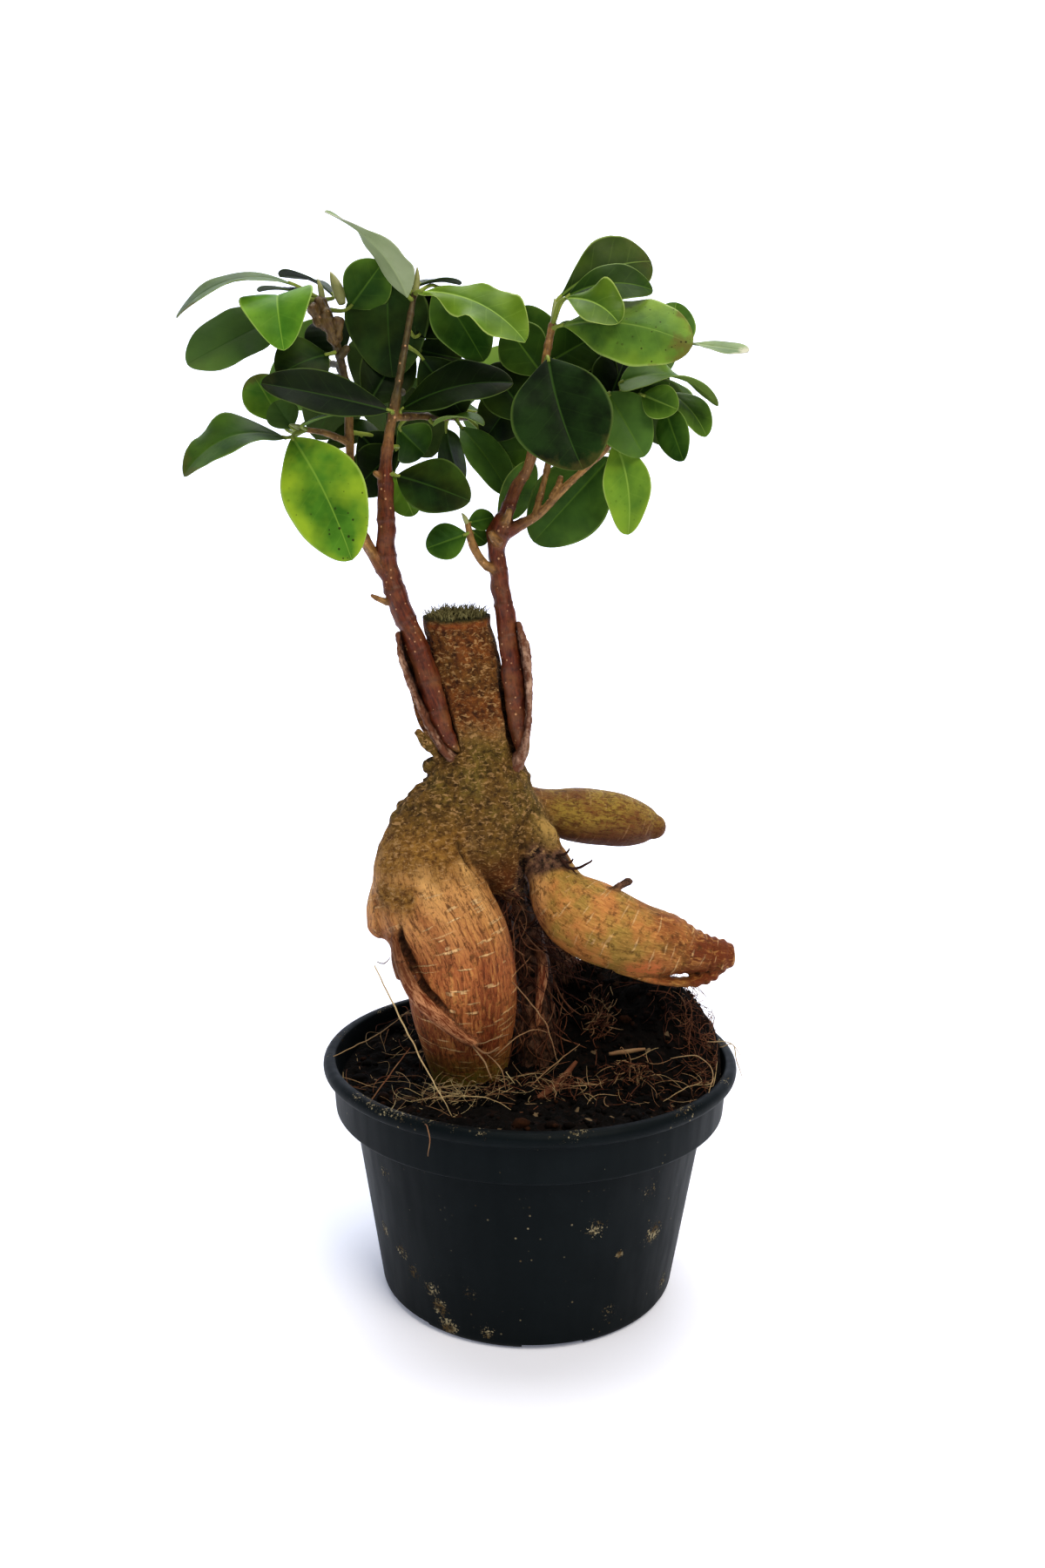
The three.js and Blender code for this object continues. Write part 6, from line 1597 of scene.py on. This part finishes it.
# Bud sheath: thin and faintly glossy, yellow-green and tinged with brown
bud_skin, wire = finish("rolled_bud_sheath", Roughness=0.45, IOR=1.45)
tint = node(bud_skin, "Attribute", attribute_name="tint", out="Fac")
place = node(bud_skin, "TexCoord", out="Object")
patch = node(bud_skin, "TexNoise", {"Vector": place, "Scale": pitch(2), "Detail": 3})
green = node(bud_skin, "MixRGB", {"Fac": patch, "Color1": "#5f7038", "Color2": "#a9ae72"})
colour = node(bud_skin, "MixRGB", {"Fac": tint, "Color1": green, "Color2": "#7a5a34"})
ribs = node(bud_skin, "Bump", {"Height": patch, "Strength": 0.4, "Distance": 0.15 * MM})
wire(Base_Color=colour, Normal=ribs)
lines = []
for foot, tip, radius in BUDS:
    t = np.linspace(0, 1, 12)
    foot, tip = np.array(foot, float), np.array(tip, float)
    path = foot + np.outer(t, tip - foot) + np.outer(np.sin(math.pi * t) * 0.4, (0.6, 0.2, 0.1))
    lines.append((path, radius * np.sin(math.pi * (0.18 + 0.8 * t)) ** 0.8 + 0.03, growth.uniform(0, 0.3)))
strands("bud_sheaths", lines, 10, bud_skin, "leaf_pale")

# The surroundings: a sweep of matt white paper that curves up behind the pot. It is painted with a faint
# blue glow that grows further from the pot, painted light that keeps the sweep white and leaves shade near
# the pot.
paper, wire = finish("matt_paper", Roughness=0.9, Base_Color=linear("#f2f4fa"),
                     Emission_Color=linear("#e9edff"))
far = node(paper, "VectorMath", {0: node(paper, "TexCoord", out="Object")}, out="Value", operation="LENGTH")
painted_glow = node(paper, "MapRange", {"Value": far, "From Min": 0.1, "From Max": 0.8, "To Min": 0.15,
                                "To Max": 0.85}, interpolation_type="SMOOTHSTEP")
wire(Emission_Strength=painted_glow)
SWEEP_WIDTH = 6000
SWEEP_ROWS = [(-3000, 0), (1100, 0), (1300, 12), (1500, 60), (1680, 150), (1820, 290), (1900, 470),
              (1930, 700), (1930, 2600)]
points = [(x, y, z) for y, z in SWEEP_ROWS for x in (-SWEEP_WIDTH / 2, SWEEP_WIDTH / 2)]
faces = [(2 * i, 2 * i + 1, 2 * i + 3, 2 * i + 2) for i in range(len(SWEEP_ROWS) - 1)]
sweep = solid("paper_sweep", points, faces)
sweep.data.materials.append(paper)
sweep.data.shade_smooth()


def softbox(name, place, aim, size, watts, colour):
    """A square soft light at a place in millimetres that looks at another."""
    data = bpy.data.lights.new(name, "AREA")
    data.shape = "RECTANGLE"
    data.size, data.size_y = size[0] * MM, size[1] * MM
    data.energy = watts
    data.color = linear(colour)[:3]
    light = bpy.data.objects.new(name, data)
    bpy.context.scene.collection.objects.link(light)
    light.location = Vector(place) * MM
    light.rotation_euler = (Vector(aim) * MM - light.location).to_track_quat("-Z", "Y").to_euler()


# Light from large soft boxes: a warm key at the right, a weak cool fill at the left, one overhead
softbox("key_softbox", (350, -650, 900), (0, 0, 150), (500, 500), 7.5, "#fff6ea")
softbox("fill_softbox", (-800, -500, 500), (0, 0, 150), (700, 700), 1.2, "#eef3ff")
softbox("top_softbox", (0, 250, 1200), (0, 0, 0), (900, 900), 10, "#ffffff")

sky = bpy.data.worlds.new("studio")
sky.use_nodes = True
sky.node_tree.nodes["Background"].inputs["Color"].default_value = linear("#eef2fa")
sky.node_tree.nodes["Background"].inputs["Strength"].default_value = 0.22
bpy.context.scene.world = sky

# The camera: a wide lens close to the tree, looking slightly down and turned by less than a degree.
# Its place was worked out from the ellipses of the pot's rim, collar and base.
CAMERA_PLACE = (-3.2, -334.7, 194.3)
CAMERA_PITCH = 8.08
CAMERA_ROLL = 0.75
LENS = 27.2
view = bpy.data.cameras.new("camera")
view.lens = LENS
view.sensor_width = 36
view.clip_start = 0.01
camera = bpy.data.objects.new("camera", view)
bpy.context.scene.collection.objects.link(camera)
camera.matrix_world = (Matrix.Translation(Vector(CAMERA_PLACE) * MM)
                       @ Matrix.Rotation(math.radians(90 - CAMERA_PITCH), 4, "X")
                       @ Matrix.Rotation(math.radians(CAMERA_ROLL), 4, "Z"))
bpy.context.scene.camera = camera
bpy.context.scene.view_settings.view_transform = "Standard"
bpy.context.scene.view_settings.look = "Medium High Contrast"
